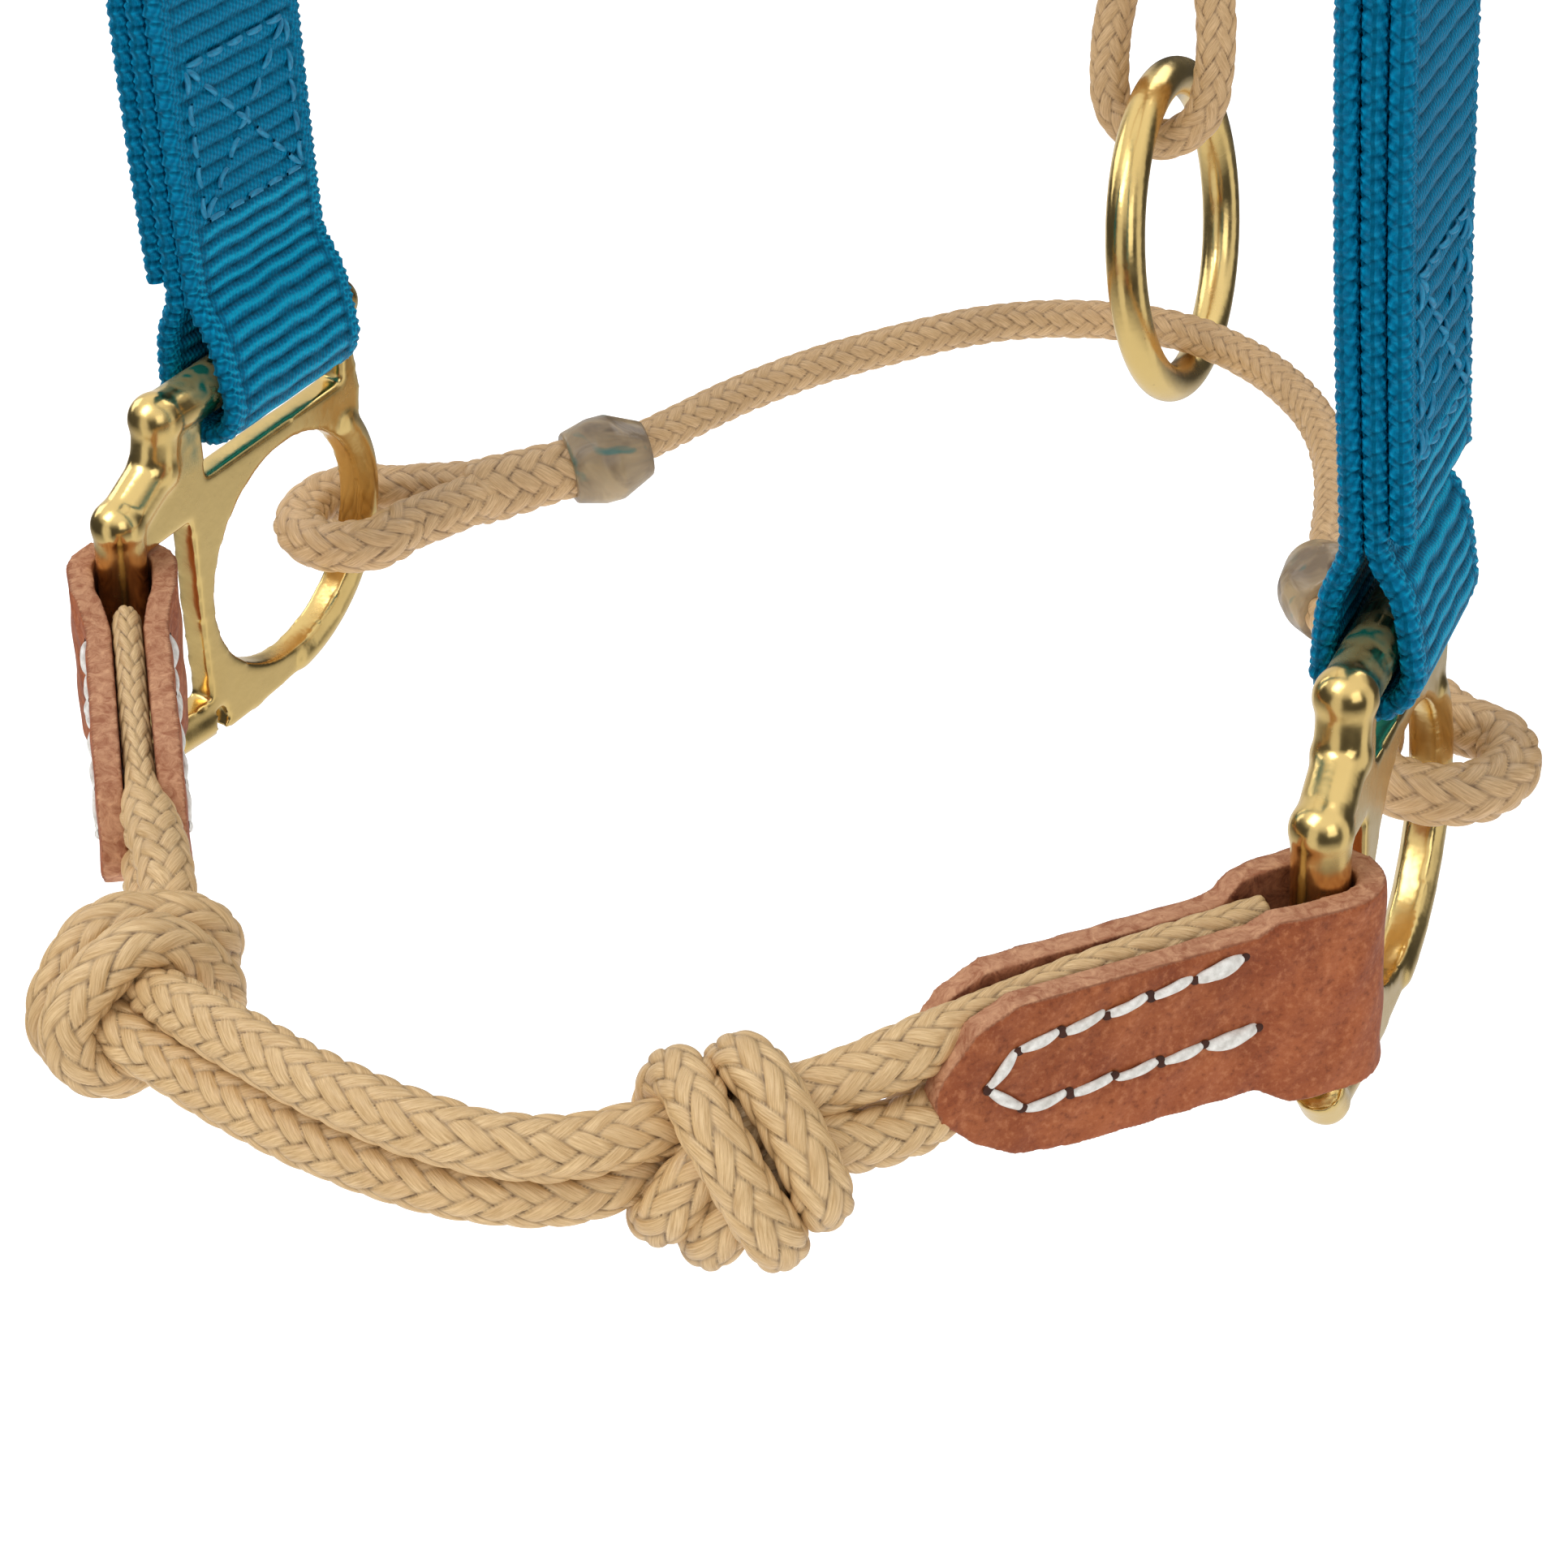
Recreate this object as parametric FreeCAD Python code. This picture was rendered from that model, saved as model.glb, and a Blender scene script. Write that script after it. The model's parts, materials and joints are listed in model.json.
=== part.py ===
import FreeCAD, Part
import os
from math import sin, cos, pi, radians, sqrt

# Rope halter: two cast side pieces joined by a knotted nose rope in front and a chin rope behind,
# with webbing cheek straps up to square rings, a buckled crown strap, a jaw rope and a throat rope.
# Millimetres, +Z up, +Y from the nose to the chin, +X to the side that carries the buckle.
# Pieces are drawn from the middle of the noseband, about halfway between the two castings, at the
# lower front corner of their webbing slots. Saving moves the origin to HANG.

V = FreeCAD.Vector
os.makedirs("parts", exist_ok=True)

LEFT, RIGHT = -1, 1
SIDES = ((LEFT, "left"), (RIGHT, "right"))
X_DIR, Y_DIR, Z_DIR = V(1, 0, 0), V(0, 1, 0), V(0, 0, 1)

# ---------------------------------------------------------------- driving dimensions
HANG = V(-1.5, 14.0, 430.5)     # where the crown strap rests on the poll
WEB_W = 25.4                    # webbing width
PLY = 2.4                       # one ply of webbing
PLY_GAP = 0.06                  # air between sewn plies of the cheek straps
HALF_PITCH = (PLY + PLY_GAP) / 2
PAIR_OFFSET = 1.25              # middle of a sewn pair to the middle of either ply
LOOP_PLAY = 0.35                # room between a bar and the loop around it
THREAD_R = 0.32                 # thread in the webbing
STITCH_EDGE = 3.6               # edge of the webbing to its box stitching
LEATHER = 2.9                   # leather thickness
BAR_R = 2.9                     # casting bars that carry webbing and leather
SLOT_L = 27.2                   # webbing slot of the casting, length
SLOT_H = 7.65                   # webbing slot, height
SLOT_BAR_UP = 10.2              # middle of the bar above the slot
FRONT_BAR_BACK = -14.1          # middle of the casting's front bar
JAW_R = 2.9                     # jaw and throat ropes
CHEEK_X = 62.0                  # middle of a square ring
CHEEK_Y = 14.0
CHEEK_Z = 185.0                 # lower bar of a square ring
SQ_W = 36.6                     # square ring, middle to middle of its side bars
SQ_H = 32.0                     # square ring, middle of the lower bar to middle of the upper bar
SQ_ROD = 2.8
SQ_CORNER_R = 5.0
TOP_Z = CHEEK_Z + SQ_H          # upper bar of a square ring


# ---------------------------------------------------------------- vectors and simple solids
def save(name, shape):
    out = shape.copy()
    out.translate(HANG * -1)
    out.exportStep("parts/" + name + ".step")


def unit(a):
    return a * (1.0 / a.Length)


def square_to(a, axis):
    """unit vector nearest to a that is square to the unit vector axis"""
    return unit(a - axis * a.dot(axis))


def axes_matrix(x_axis, y_axis, z_axis, origin):
    return FreeCAD.Matrix(x_axis.x, y_axis.x, z_axis.x, origin.x,
                          x_axis.y, y_axis.y, z_axis.y, origin.y,
                          x_axis.z, y_axis.z, z_axis.z, origin.z,
                          0, 0, 0, 1)


def rod(start, end, r):
    d = end - start
    return Part.makeCylinder(r, d.Length, start, d)


def ball(centre, r):
    return Part.makeSphere(r, centre)


def cone(start, end, r_start, r_end):
    return Part.makeCone(r_start, r_end, (end - start).Length, start, end - start)


def face(points):
    return Part.Face(Part.makePolygon(points + [points[0]]))


def outward(solid):
    """turns a solid that was built inside out"""
    if solid.Volume < 0:
        solid.reverse()
    return solid


def covers(solid, parts):
    """True when the joined solid is one valid solid that reaches as far as all of its parts"""
    if not solid.isValid() or len(solid.Solids) != 1:
        return False
    want = Part.makeCompound(parts).BoundBox
    got = solid.BoundBox
    limits = ("XMin", "XMax", "YMin", "YMax", "ZMin", "ZMax")
    error = max(abs(getattr(got, k) - getattr(want, k)) for k in limits)
    return error < 0.6 and solid.Volume > 0.98 * max(p.Volume for p in parts)


def fuse(parts):
    """joins parts in one go; if that loses a part, one by one with growing tolerance"""
    joined = parts[0].multiFuse(parts[1:]).removeSplitter()
    if covers(joined, parts):
        return joined.Solids[0]
    for tol in (0.0, 0.001, 0.005):
        joined = parts[0]
        for part in parts[1:]:
            joined = joined.fuse(part, tol) if tol else joined.fuse(part)
        if covers(joined, parts):
            return joined.Solids[0]
    return joined


# ---------------------------------------------------------------- webbing
def ribbon(centres, widths):
    """webbing along a centre line in space, with the width direction at each point"""
    last = len(centres) - 1
    rows = []
    for i, centre in enumerate(centres):
        before = centres[max(i - 1, 0)]
        tangent = unit(centres[min(i + 1, last)] - before)
        across = square_to(widths[i], tangent)
        mitre = 1.0
        if 0 < i < last:
            mitre = max(unit(centre - before).dot(tangent), 0.5)
        half_t = tangent.cross(across) * (PLY / 2.0 / mitre)
        half_w = across * (WEB_W / 2)
        rows.append([centre - half_w - half_t, centre + half_w - half_t,
                     centre + half_w + half_t, centre - half_w + half_t])
    faces = []
    for row, after in zip(rows[:-1], rows[1:]):
        for k in range(4):
            j = (k + 1) % 4
            faces.append(face([row[k], row[j], after[j]]))
            faces.append(face([row[k], after[j], after[k]]))
    for row in (rows[0], rows[-1]):
        faces.append(face([row[0], row[1], row[2]]))
        faces.append(face([row[0], row[2], row[3]]))
    shell = Part.makeShell(faces)
    shell.sewShape()
    return outward(Part.makeSolid(shell))


def strip(profile):
    """webbing of the crown, its width along +Y: profile is its centre line as (x, z)"""
    last = len(profile) - 1
    y = CHEEK_Y - WEB_W / 2
    one_face, other_face = [], []
    for i, (px, pz) in enumerate(profile):
        before = profile[max(i - 1, 0)]
        after = profile[min(i + 1, last)]
        dx, dz = after[0] - before[0], after[1] - before[1]
        length = sqrt(dx * dx + dz * dz)
        dx, dz = dx / length, dz / length
        mitre = 1.0
        if 0 < i < last:
            ex, ez = px - before[0], pz - before[1]
            mitre = max((ex * dx + ez * dz) / sqrt(ex * ex + ez * ez), 0.6)
        half = PLY / 2.0 / mitre
        one_face.append(V(px - dz * half, y, pz + dx * half))
        other_face.append(V(px + dz * half, y, pz - dx * half))
    return face(one_face + other_face[::-1]).extrude(V(0, WEB_W, 0))


def arc(cx, cz, r, start, end, steps):
    angles = [radians(start + (end - start) * i / steps) for i in range(steps + 1)]
    return [(cx + r * cos(a), cz + r * sin(a)) for a in angles]


def box_stitches(low, high, pitch, locate):
    """box and cross of thread; locate turns (height, distance across) into a point"""
    y = WEB_W / 2 - STITCH_EDGE
    a, b, c, d = (low, -y), (low, y), (high, y), (high, -y)
    threads = []
    for (h0, y0), (h1, y1) in ((a, b), (b, c), (c, d), (d, a), (a, c), (b, d)):
        count = int(sqrt((h1 - h0) ** 2 + (y1 - y0) ** 2) / pitch)
        for k in range(count):
            ends = [locate(h0 + (h1 - h0) * f, y0 + (y1 - y0) * f)
                    for f in ((k + 0.14) / count, (k + 0.86) / count)]
            threads.append(rod(ends[0], ends[1], THREAD_R))
    return threads


# ---------------------------------------------------------------- castings
PLATE_T = 3.4                   # flat part of the casting
CUT_T = 12                      # thickness of the tools that cut through it
RING_BACK, RING_UP = 15.3, -17.8    # centre of the round opening
RING_OPEN_R = 15.0
RING_EDGE_R = 19.0              # edge of the plate round that opening
RING_ROD_R = 2.4                # rod at the rear of the ring
RING_MID_R = RING_OPEN_R + RING_ROD_R
RING_ROD_START, RING_ROD_SPAN = -84, 126    # degrees

# yaw, lean and pitch in degrees, origin
CASTING_POSE = {LEFT: (1.02, 6.32, 0.0, V(-70.44, 1.23, 0.5)),
                RIGHT: (3.24, 3.53, -3.24, V(70.43, -1.23, -0.54))}

# plan outlines as (to the rear, up)
PLATE_UPPER = [(-6.2, SLOT_BAR_UP), (28.8, SLOT_BAR_UP), (30.2, 3.0), (31.2, -2.2)]
PLATE_LOWER = [(7.5, -37.3), (1.6, -36.9), (-1.2, -35.6), (-9.5, -33.4), (-13.2, -30.5),
               (FRONT_BAR_BACK, -28), (FRONT_BAR_BACK, 0.4), (-7.2, 4.3)]
FRONT_OPENING = [(-3.3, -4.4), (-11.7, -4.4), (-11.7, -28.6), (-8.6, -30.4), (-1.6, -30.9),
                 (-2.7, -17.0)]

SLOT_BAR_FRONT = V(-6.2, SLOT_BAR_UP, 0)
SLOT_BAR_REAR = V(28.6, SLOT_BAR_UP, 0)
# bars from the front of the slot bar down to the foot:
# (to the rear, up, radius of the bar to here over BAR_R, radius of the ball here over BAR_R)
BAR_JOINTS = [(-7.2, 4.3, -0.15, 0.2), (FRONT_BAR_BACK, 0.2, -0.15, 0.3),
              (FRONT_BAR_BACK, -28.5, 0.0, 0.0), (-10.2, -33.4, -0.3, -0.3),
              (-0.4, -34.6, -0.6, -0.6)]


def casting_frame(side):
    """origin, rear, up (leaning inwards) and out directions of a casting"""
    yaw, lean, pitch, origin = CASTING_POSE[side]
    yaw, lean, pitch = radians(yaw), radians(lean), radians(pitch)
    rear0 = V(-side * sin(yaw), cos(yaw), 0)
    out0 = V(side * cos(yaw), sin(yaw), 0)
    up0 = Z_DIR * cos(lean) - out0 * sin(lean)
    out = out0 * cos(lean) + Z_DIR * sin(lean)
    rear = rear0 * cos(pitch) + up0 * sin(pitch)
    up = up0 * cos(pitch) - rear0 * sin(pitch)
    return origin, rear, up, out


def casting_point(side, back, height):
    origin, rear, up, _ = casting_frame(side)
    return origin + rear * back + up * height


def slab(outline, thickness):
    return face([V(a, b, -thickness / 2) for a, b in outline]).extrude(V(0, 0, thickness))


def casting(side):
    """drawn flat with x to the rear and y up, then moved to its side"""
    ring_centre = V(RING_BACK, RING_UP, 0)

    def on_ring(r, degrees):
        return ring_centre + V(r * cos(radians(degrees)), r * sin(radians(degrees)), 0)

    edge = [on_ring(RING_EDGE_R, 34 - 126 * k / 14.0) for k in range(15)]
    plate = slab(PLATE_UPPER + [(p.x, p.y) for p in edge] + PLATE_LOWER, PLATE_T)
    hole = Part.makeCylinder(RING_OPEN_R, CUT_T, V(RING_BACK, RING_UP, -CUT_T / 2))
    slot = Part.makeBox(SLOT_L, SLOT_H, CUT_T, V(0, 0, -CUT_T / 2))
    plate = plate.cut(hole).cut(slot).cut(slab(FRONT_OPENING, CUT_T))

    parts = [plate, rod(SLOT_BAR_FRONT, SLOT_BAR_REAR, BAR_R), ball(SLOT_BAR_FRONT, BAR_R + 0.35)]
    start = SLOT_BAR_FRONT
    for back, height, bar_extra, ball_extra in BAR_JOINTS:
        end = V(back, height, 0)
        parts += [rod(start, end, BAR_R + bar_extra), ball(end, BAR_R + ball_extra)]
        start = end
    parts.append(ball(SLOT_BAR_REAR, BAR_R))

    ring_rod = Part.makeTorus(RING_MID_R, RING_ROD_R, ring_centre, Z_DIR, 0, 360, RING_ROD_SPAN)
    ring_rod.rotate(ring_centre, Z_DIR, RING_ROD_START)
    parts.append(ring_rod)
    for degrees in (RING_ROD_START, RING_ROD_START + RING_ROD_SPAN):
        parts.append(ball(on_ring(RING_MID_R, degrees), RING_ROD_R))

    placed = fuse(parts).copy()
    origin, rear, up, _ = casting_frame(side)
    placed.transformShape(axes_matrix(rear, up, rear.cross(up), origin))
    return placed


# ---------------------------------------------------------------- leather nose tabs
NOSE_TAB_R = 2.65               # nose rope where the leather squeezes it
TAB_IN_R = BAR_R + LOOP_PLAY    # inside of the fold round the front bar
TAB_OUT_R = TAB_IN_R + LEATHER
TAB_HALF_GAP = NOSE_TAB_R + 0.05
TAB_LEN = 43.0
TAB_UP = -15.0                  # height of the tab's origin on the casting
TAB_TOP, TAB_BOTTOM = -4.9, -25.4
STITCH_R = 0.55
# outline seen from the side as (along the tab, height on the casting)
TAB_OUTLINE = [(-8, TAB_TOP), (7.0, TAB_TOP), (9.4, -6.4), (33.5, -6.6), (37.6, -8.4),
               (41.2, -12.4), (42.2, -14.6), (41.6, -17.0), (38.2, -20.6), (34.2, -22.9),
               (29.0, -23.7), (9.2, -23.7), (6.4, TAB_BOTTOM), (-8, TAB_BOTTOM)]
# needle points in the same columns: along the top, round the tip and back along the bottom
SEAM = ([(11.2 + 4.5 * k, -8.4 - 0.56 * k) for k in range(6)] + [(36.9, -14.7)]
        + [(33.4 - 4.7 * k, -17.9 + 0.26 * k) for k in range(6)])


def tab_frame(side):
    """origin on the front bar, directions along the tab to the nose, up and out"""
    _, _, up, casting_out = casting_frame(side)
    origin = casting_point(side, FRONT_BAR_BACK, TAB_UP)
    level = V(side * 33.0, -60.0, 0) - origin
    level.z = 0
    along = square_to(unit(level), up)
    out = up.cross(along)
    if out.dot(casting_out) < 0:
        out = out * -1
    return origin, along, up, out


def tab_point(side, distance, height, offset):
    origin, along, up, out = tab_frame(side)
    return origin + along * distance + up * (height - TAB_UP) + out * offset


def nose_tab(side):
    """leather folded round the front bar, open towards the nose"""
    r_in, r_out, gap = TAB_IN_R, TAB_OUT_R, TAB_HALF_GAP
    outer = ([(TAB_LEN, gap + LEATHER), (9.0, gap + LEATHER), (4.0, r_out - 0.15)]
             + arc(0, 0, r_out, 90, 270, 16)
             + [(4.0, -r_out + 0.15), (9.0, -gap - LEATHER), (TAB_LEN, -gap - LEATHER)])
    inner = ([(TAB_LEN, -gap), (9.0, -gap), (4.0, -r_in + 0.1)]
             + arc(0, 0, r_in, 90, 270, 16)[::-1]
             + [(4.0, r_in - 0.1), (9.0, gap), (TAB_LEN, gap)])
    _, _, up, out = tab_frame(side)
    section = face([tab_point(side, a, TAB_BOTTOM, b) for a, b in outer + inner])
    folded = section.extrude(up * (TAB_TOP - TAB_BOTTOM))
    outline = face([tab_point(side, a, b, -12) for a, b in TAB_OUTLINE])
    return folded.common(outline.extrude(out * 24))


def nose_tab_stitching(side):
    threads = []
    surface = TAB_HALF_GAP + LEATHER
    for (a0, b0), (a1, b1) in zip(SEAM[:-1], SEAM[1:]):
        for offset in (surface, -surface):
            start, end = [tab_point(side, a0 + (a1 - a0) * f, b0 + (b1 - b0) * f, offset)
                          for f in (0.06, 0.94)]
            threads.append(fuse([rod(start, end, STITCH_R), ball(start, STITCH_R),
                                 ball(end, STITCH_R)]))
    return Part.makeCompound(threads)


# ---------------------------------------------------------------- nose ropes
NOSE_R = 3.0                    # free rope
KNOT_R = 2.15                   # rope pulled tight in a knot
KNOTS = [V(-31.0, -64.0, -16.0), V(31.5, -62.0, -15.5)]
# centre lines (x, y, z) of the two strands, tied together in two overhand knots:
# left tab, knot, front, knot, right tab
STRAND_UPPER = [
    (-68.04, -17.07, -7.62), (-67.05, -18.32, -7.81), (-66.04, -19.57, -7.99),
    (-65.04, -20.82, -8.16), (-64.02, -22.06, -8.33), (-63.00, -23.29, -8.50),
    (-61.97, -24.52, -8.66), (-60.95, -25.75, -8.83), (-59.94, -26.99, -9.03),
    (-58.92, -28.23, -9.23), (-57.91, -29.47, -9.43), (-56.91, -30.71, -9.64),
    (-55.90, -31.95, -9.85), (-54.89, -33.19, -10.08), (-53.89, -34.42, -10.30),
    (-52.88, -35.66, -10.53), (-51.86, -36.89, -10.76), (-50.84, -38.11, -10.99),
    (-49.79, -39.32, -11.21), (-48.73, -40.51, -11.42), (-47.65, -41.69, -11.61),
    (-46.55, -42.85, -11.79), (-45.41, -43.98, -11.94), (-44.26, -45.10, -12.07),
    (-43.09, -46.20, -12.19), (-41.90, -47.28, -12.29), (-40.71, -48.37, -12.39),
    (-39.54, -49.47, -12.49), (-38.40, -50.59, -12.62), (-37.30, -51.76, -12.78),
    (-36.27, -52.98, -12.98), (-35.31, -54.26, -13.25), (-34.43, -55.57, -13.55),
    (-33.62, -56.90, -13.95), (-32.85, -58.19, -14.53), (-31.97, -59.33, -15.22),
    (-30.97, -60.36, -15.95), (-30.17, -61.48, -16.77), (-29.56, -62.76, -17.53),
    (-28.97, -64.08, -18.24), (-28.67, -65.46, -19.00), (-28.65, -66.79, -19.89),
    (-28.89, -68.18, -20.65), (-29.42, -69.63, -21.06), (-30.15, -71.05, -20.97),
    (-30.97, -72.28, -20.39), (-31.78, -73.21, -19.37), (-32.43, -73.76, -18.02),
    (-32.84, -73.85, -16.48), (-32.95, -73.51, -14.93), (-32.77, -72.77, -13.53),
    (-32.32, -71.74, -12.37), (-31.73, -70.61, -11.39), (-31.08, -69.48, -10.45),
    (-30.38, -68.31, -9.60), (-29.60, -67.02, -9.06), (-28.76, -65.67, -8.99),
    (-27.92, -64.39, -9.42), (-27.13, -63.33, -10.34), (-26.52, -62.55, -11.60),
    (-26.12, -61.93, -13.03), (-25.73, -61.30, -14.47), (-25.41, -60.66, -15.91),
    (-25.47, -60.14, -17.43), (-25.99, -59.84, -18.92), (-26.86, -59.77, -20.26),
    (-27.95, -59.87, -21.43), (-29.09, -59.99, -22.56), (-30.25, -60.12, -23.68),
    (-31.55, -60.37, -24.58), (-33.00, -60.82, -25.10), (-34.45, -61.48, -25.16),
    (-35.77, -62.29, -24.73), (-36.80, -63.16, -23.87), (-37.41, -64.04, -22.68),
    (-37.52, -64.85, -21.30), (-37.09, -65.57, -19.93), (-36.15, -66.18, -18.79),
    (-34.86, -66.80, -18.07), (-33.56, -67.65, -17.64), (-32.36, -68.58, -17.11),
    (-31.06, -69.33, -16.54), (-29.66, -70.09, -16.27), (-28.22, -70.80, -16.36),
    (-26.67, -71.23, -16.45), (-25.10, -71.57, -16.56), (-23.52, -71.85, -16.69),
    (-21.93, -72.10, -16.85), (-20.35, -72.32, -17.02), (-18.76, -72.55, -17.18),
    (-17.17, -72.77, -17.33), (-15.58, -73.01, -17.45), (-13.99, -73.26, -17.54),
    (-12.40, -73.51, -17.61), (-10.81, -73.76, -17.67), (-9.22, -74.00, -17.71),
    (-7.63, -74.22, -17.75), (-6.03, -74.42, -17.78), (-4.42, -74.58, -17.82),
    (-2.82, -74.71, -17.86), (-1.21, -74.81, -17.90), (0.40, -74.87, -17.95),
    (2.01, -74.89, -17.99), (3.62, -74.87, -18.04), (5.23, -74.80, -18.08),
    (6.83, -74.68, -18.13), (8.43, -74.50, -18.18), (10.02, -74.25, -18.24),
    (11.60, -73.92, -18.31), (13.15, -73.50, -18.40), (14.67, -72.98, -18.51),
    (16.15, -72.36, -18.63), (17.59, -71.64, -18.77), (18.96, -70.81, -18.89),
    (20.27, -69.87, -18.97), (21.49, -68.83, -18.96), (22.63, -67.69, -18.84),
    (23.67, -66.49, -18.60), (24.72, -65.30, -18.36), (25.94, -64.25, -18.41),
    (27.21, -63.39, -18.88), (28.55, -62.74, -19.47), (29.95, -62.30, -20.11),
    (31.35, -61.78, -20.71), (32.68, -61.34, -21.52), (34.05, -61.43, -22.34),
    (35.45, -61.99, -22.87), (36.77, -62.89, -22.98), (37.89, -63.96, -22.60),
    (38.71, -65.06, -21.77), (39.14, -66.07, -20.61), (39.15, -66.89, -19.24),
    (38.75, -67.38, -17.78), (38.04, -67.54, -16.36), (37.19, -67.47, -14.99),
    (36.33, -67.34, -13.63), (35.46, -67.17, -12.29), (34.44, -66.82, -11.11),
    (33.27, -66.19, -10.22), (32.06, -65.27, -9.75), (30.90, -64.17, -9.63),
    (29.79, -63.00, -9.65), (28.67, -61.84, -9.67), (27.49, -60.81, -10.00),
    (26.33, -59.98, -10.72), (25.31, -59.42, -11.82), (24.56, -59.19, -13.22),
    (24.16, -59.25, -14.77), (23.99, -59.48, -16.35), (23.83, -59.72, -17.94),
    (23.72, -60.08, -19.50), (23.80, -60.76, -20.96), (24.18, -61.84, -22.09),
    (24.86, -63.13, -22.73), (25.71, -64.43, -22.90), (26.66, -65.70, -22.68),
    (27.63, -66.58, -21.73), (28.52, -67.15, -20.59), (29.35, -67.36, -19.22),
    (30.02, -66.93, -17.83), (30.75, -66.25, -16.58), (31.56, -65.35, -15.53),
    (32.36, -64.26, -14.66), (33.06, -63.03, -13.89), (33.65, -61.73, -13.16),
    (34.20, -60.26, -12.81), (34.89, -58.82, -12.66), (35.78, -57.54, -12.26),
    (36.85, -56.38, -11.94), (38.03, -55.29, -11.78), (39.17, -54.17, -11.63),
    (40.26, -52.99, -11.47), (41.30, -51.77, -11.29), (42.30, -50.53, -11.10),
    (43.28, -49.26, -10.90), (44.24, -47.98, -10.68), (45.19, -46.70, -10.46),
    (46.14, -45.43, -10.22), (47.10, -44.16, -9.99), (48.07, -42.89, -9.75),
    (49.06, -41.64, -9.52), (50.06, -40.40, -9.30), (51.08, -39.16, -9.10),
    (52.11, -37.94, -8.91), (53.15, -36.72, -8.74), (54.19, -35.50, -8.59),
    (55.25, -34.29, -8.46), (56.31, -33.08, -8.34), (57.37, -31.88, -8.23),
    (58.43, -30.67, -8.13), (59.49, -29.46, -8.04), (60.55, -28.25, -7.96),
    (61.61, -27.04, -7.89), (62.67, -25.83, -7.83), (63.73, -24.61, -7.77),
    (64.80, -23.41, -7.72), (65.87, -22.21, -7.66), (66.95, -21.01, -7.59),
    (68.04, -19.83, -7.52)]
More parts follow.
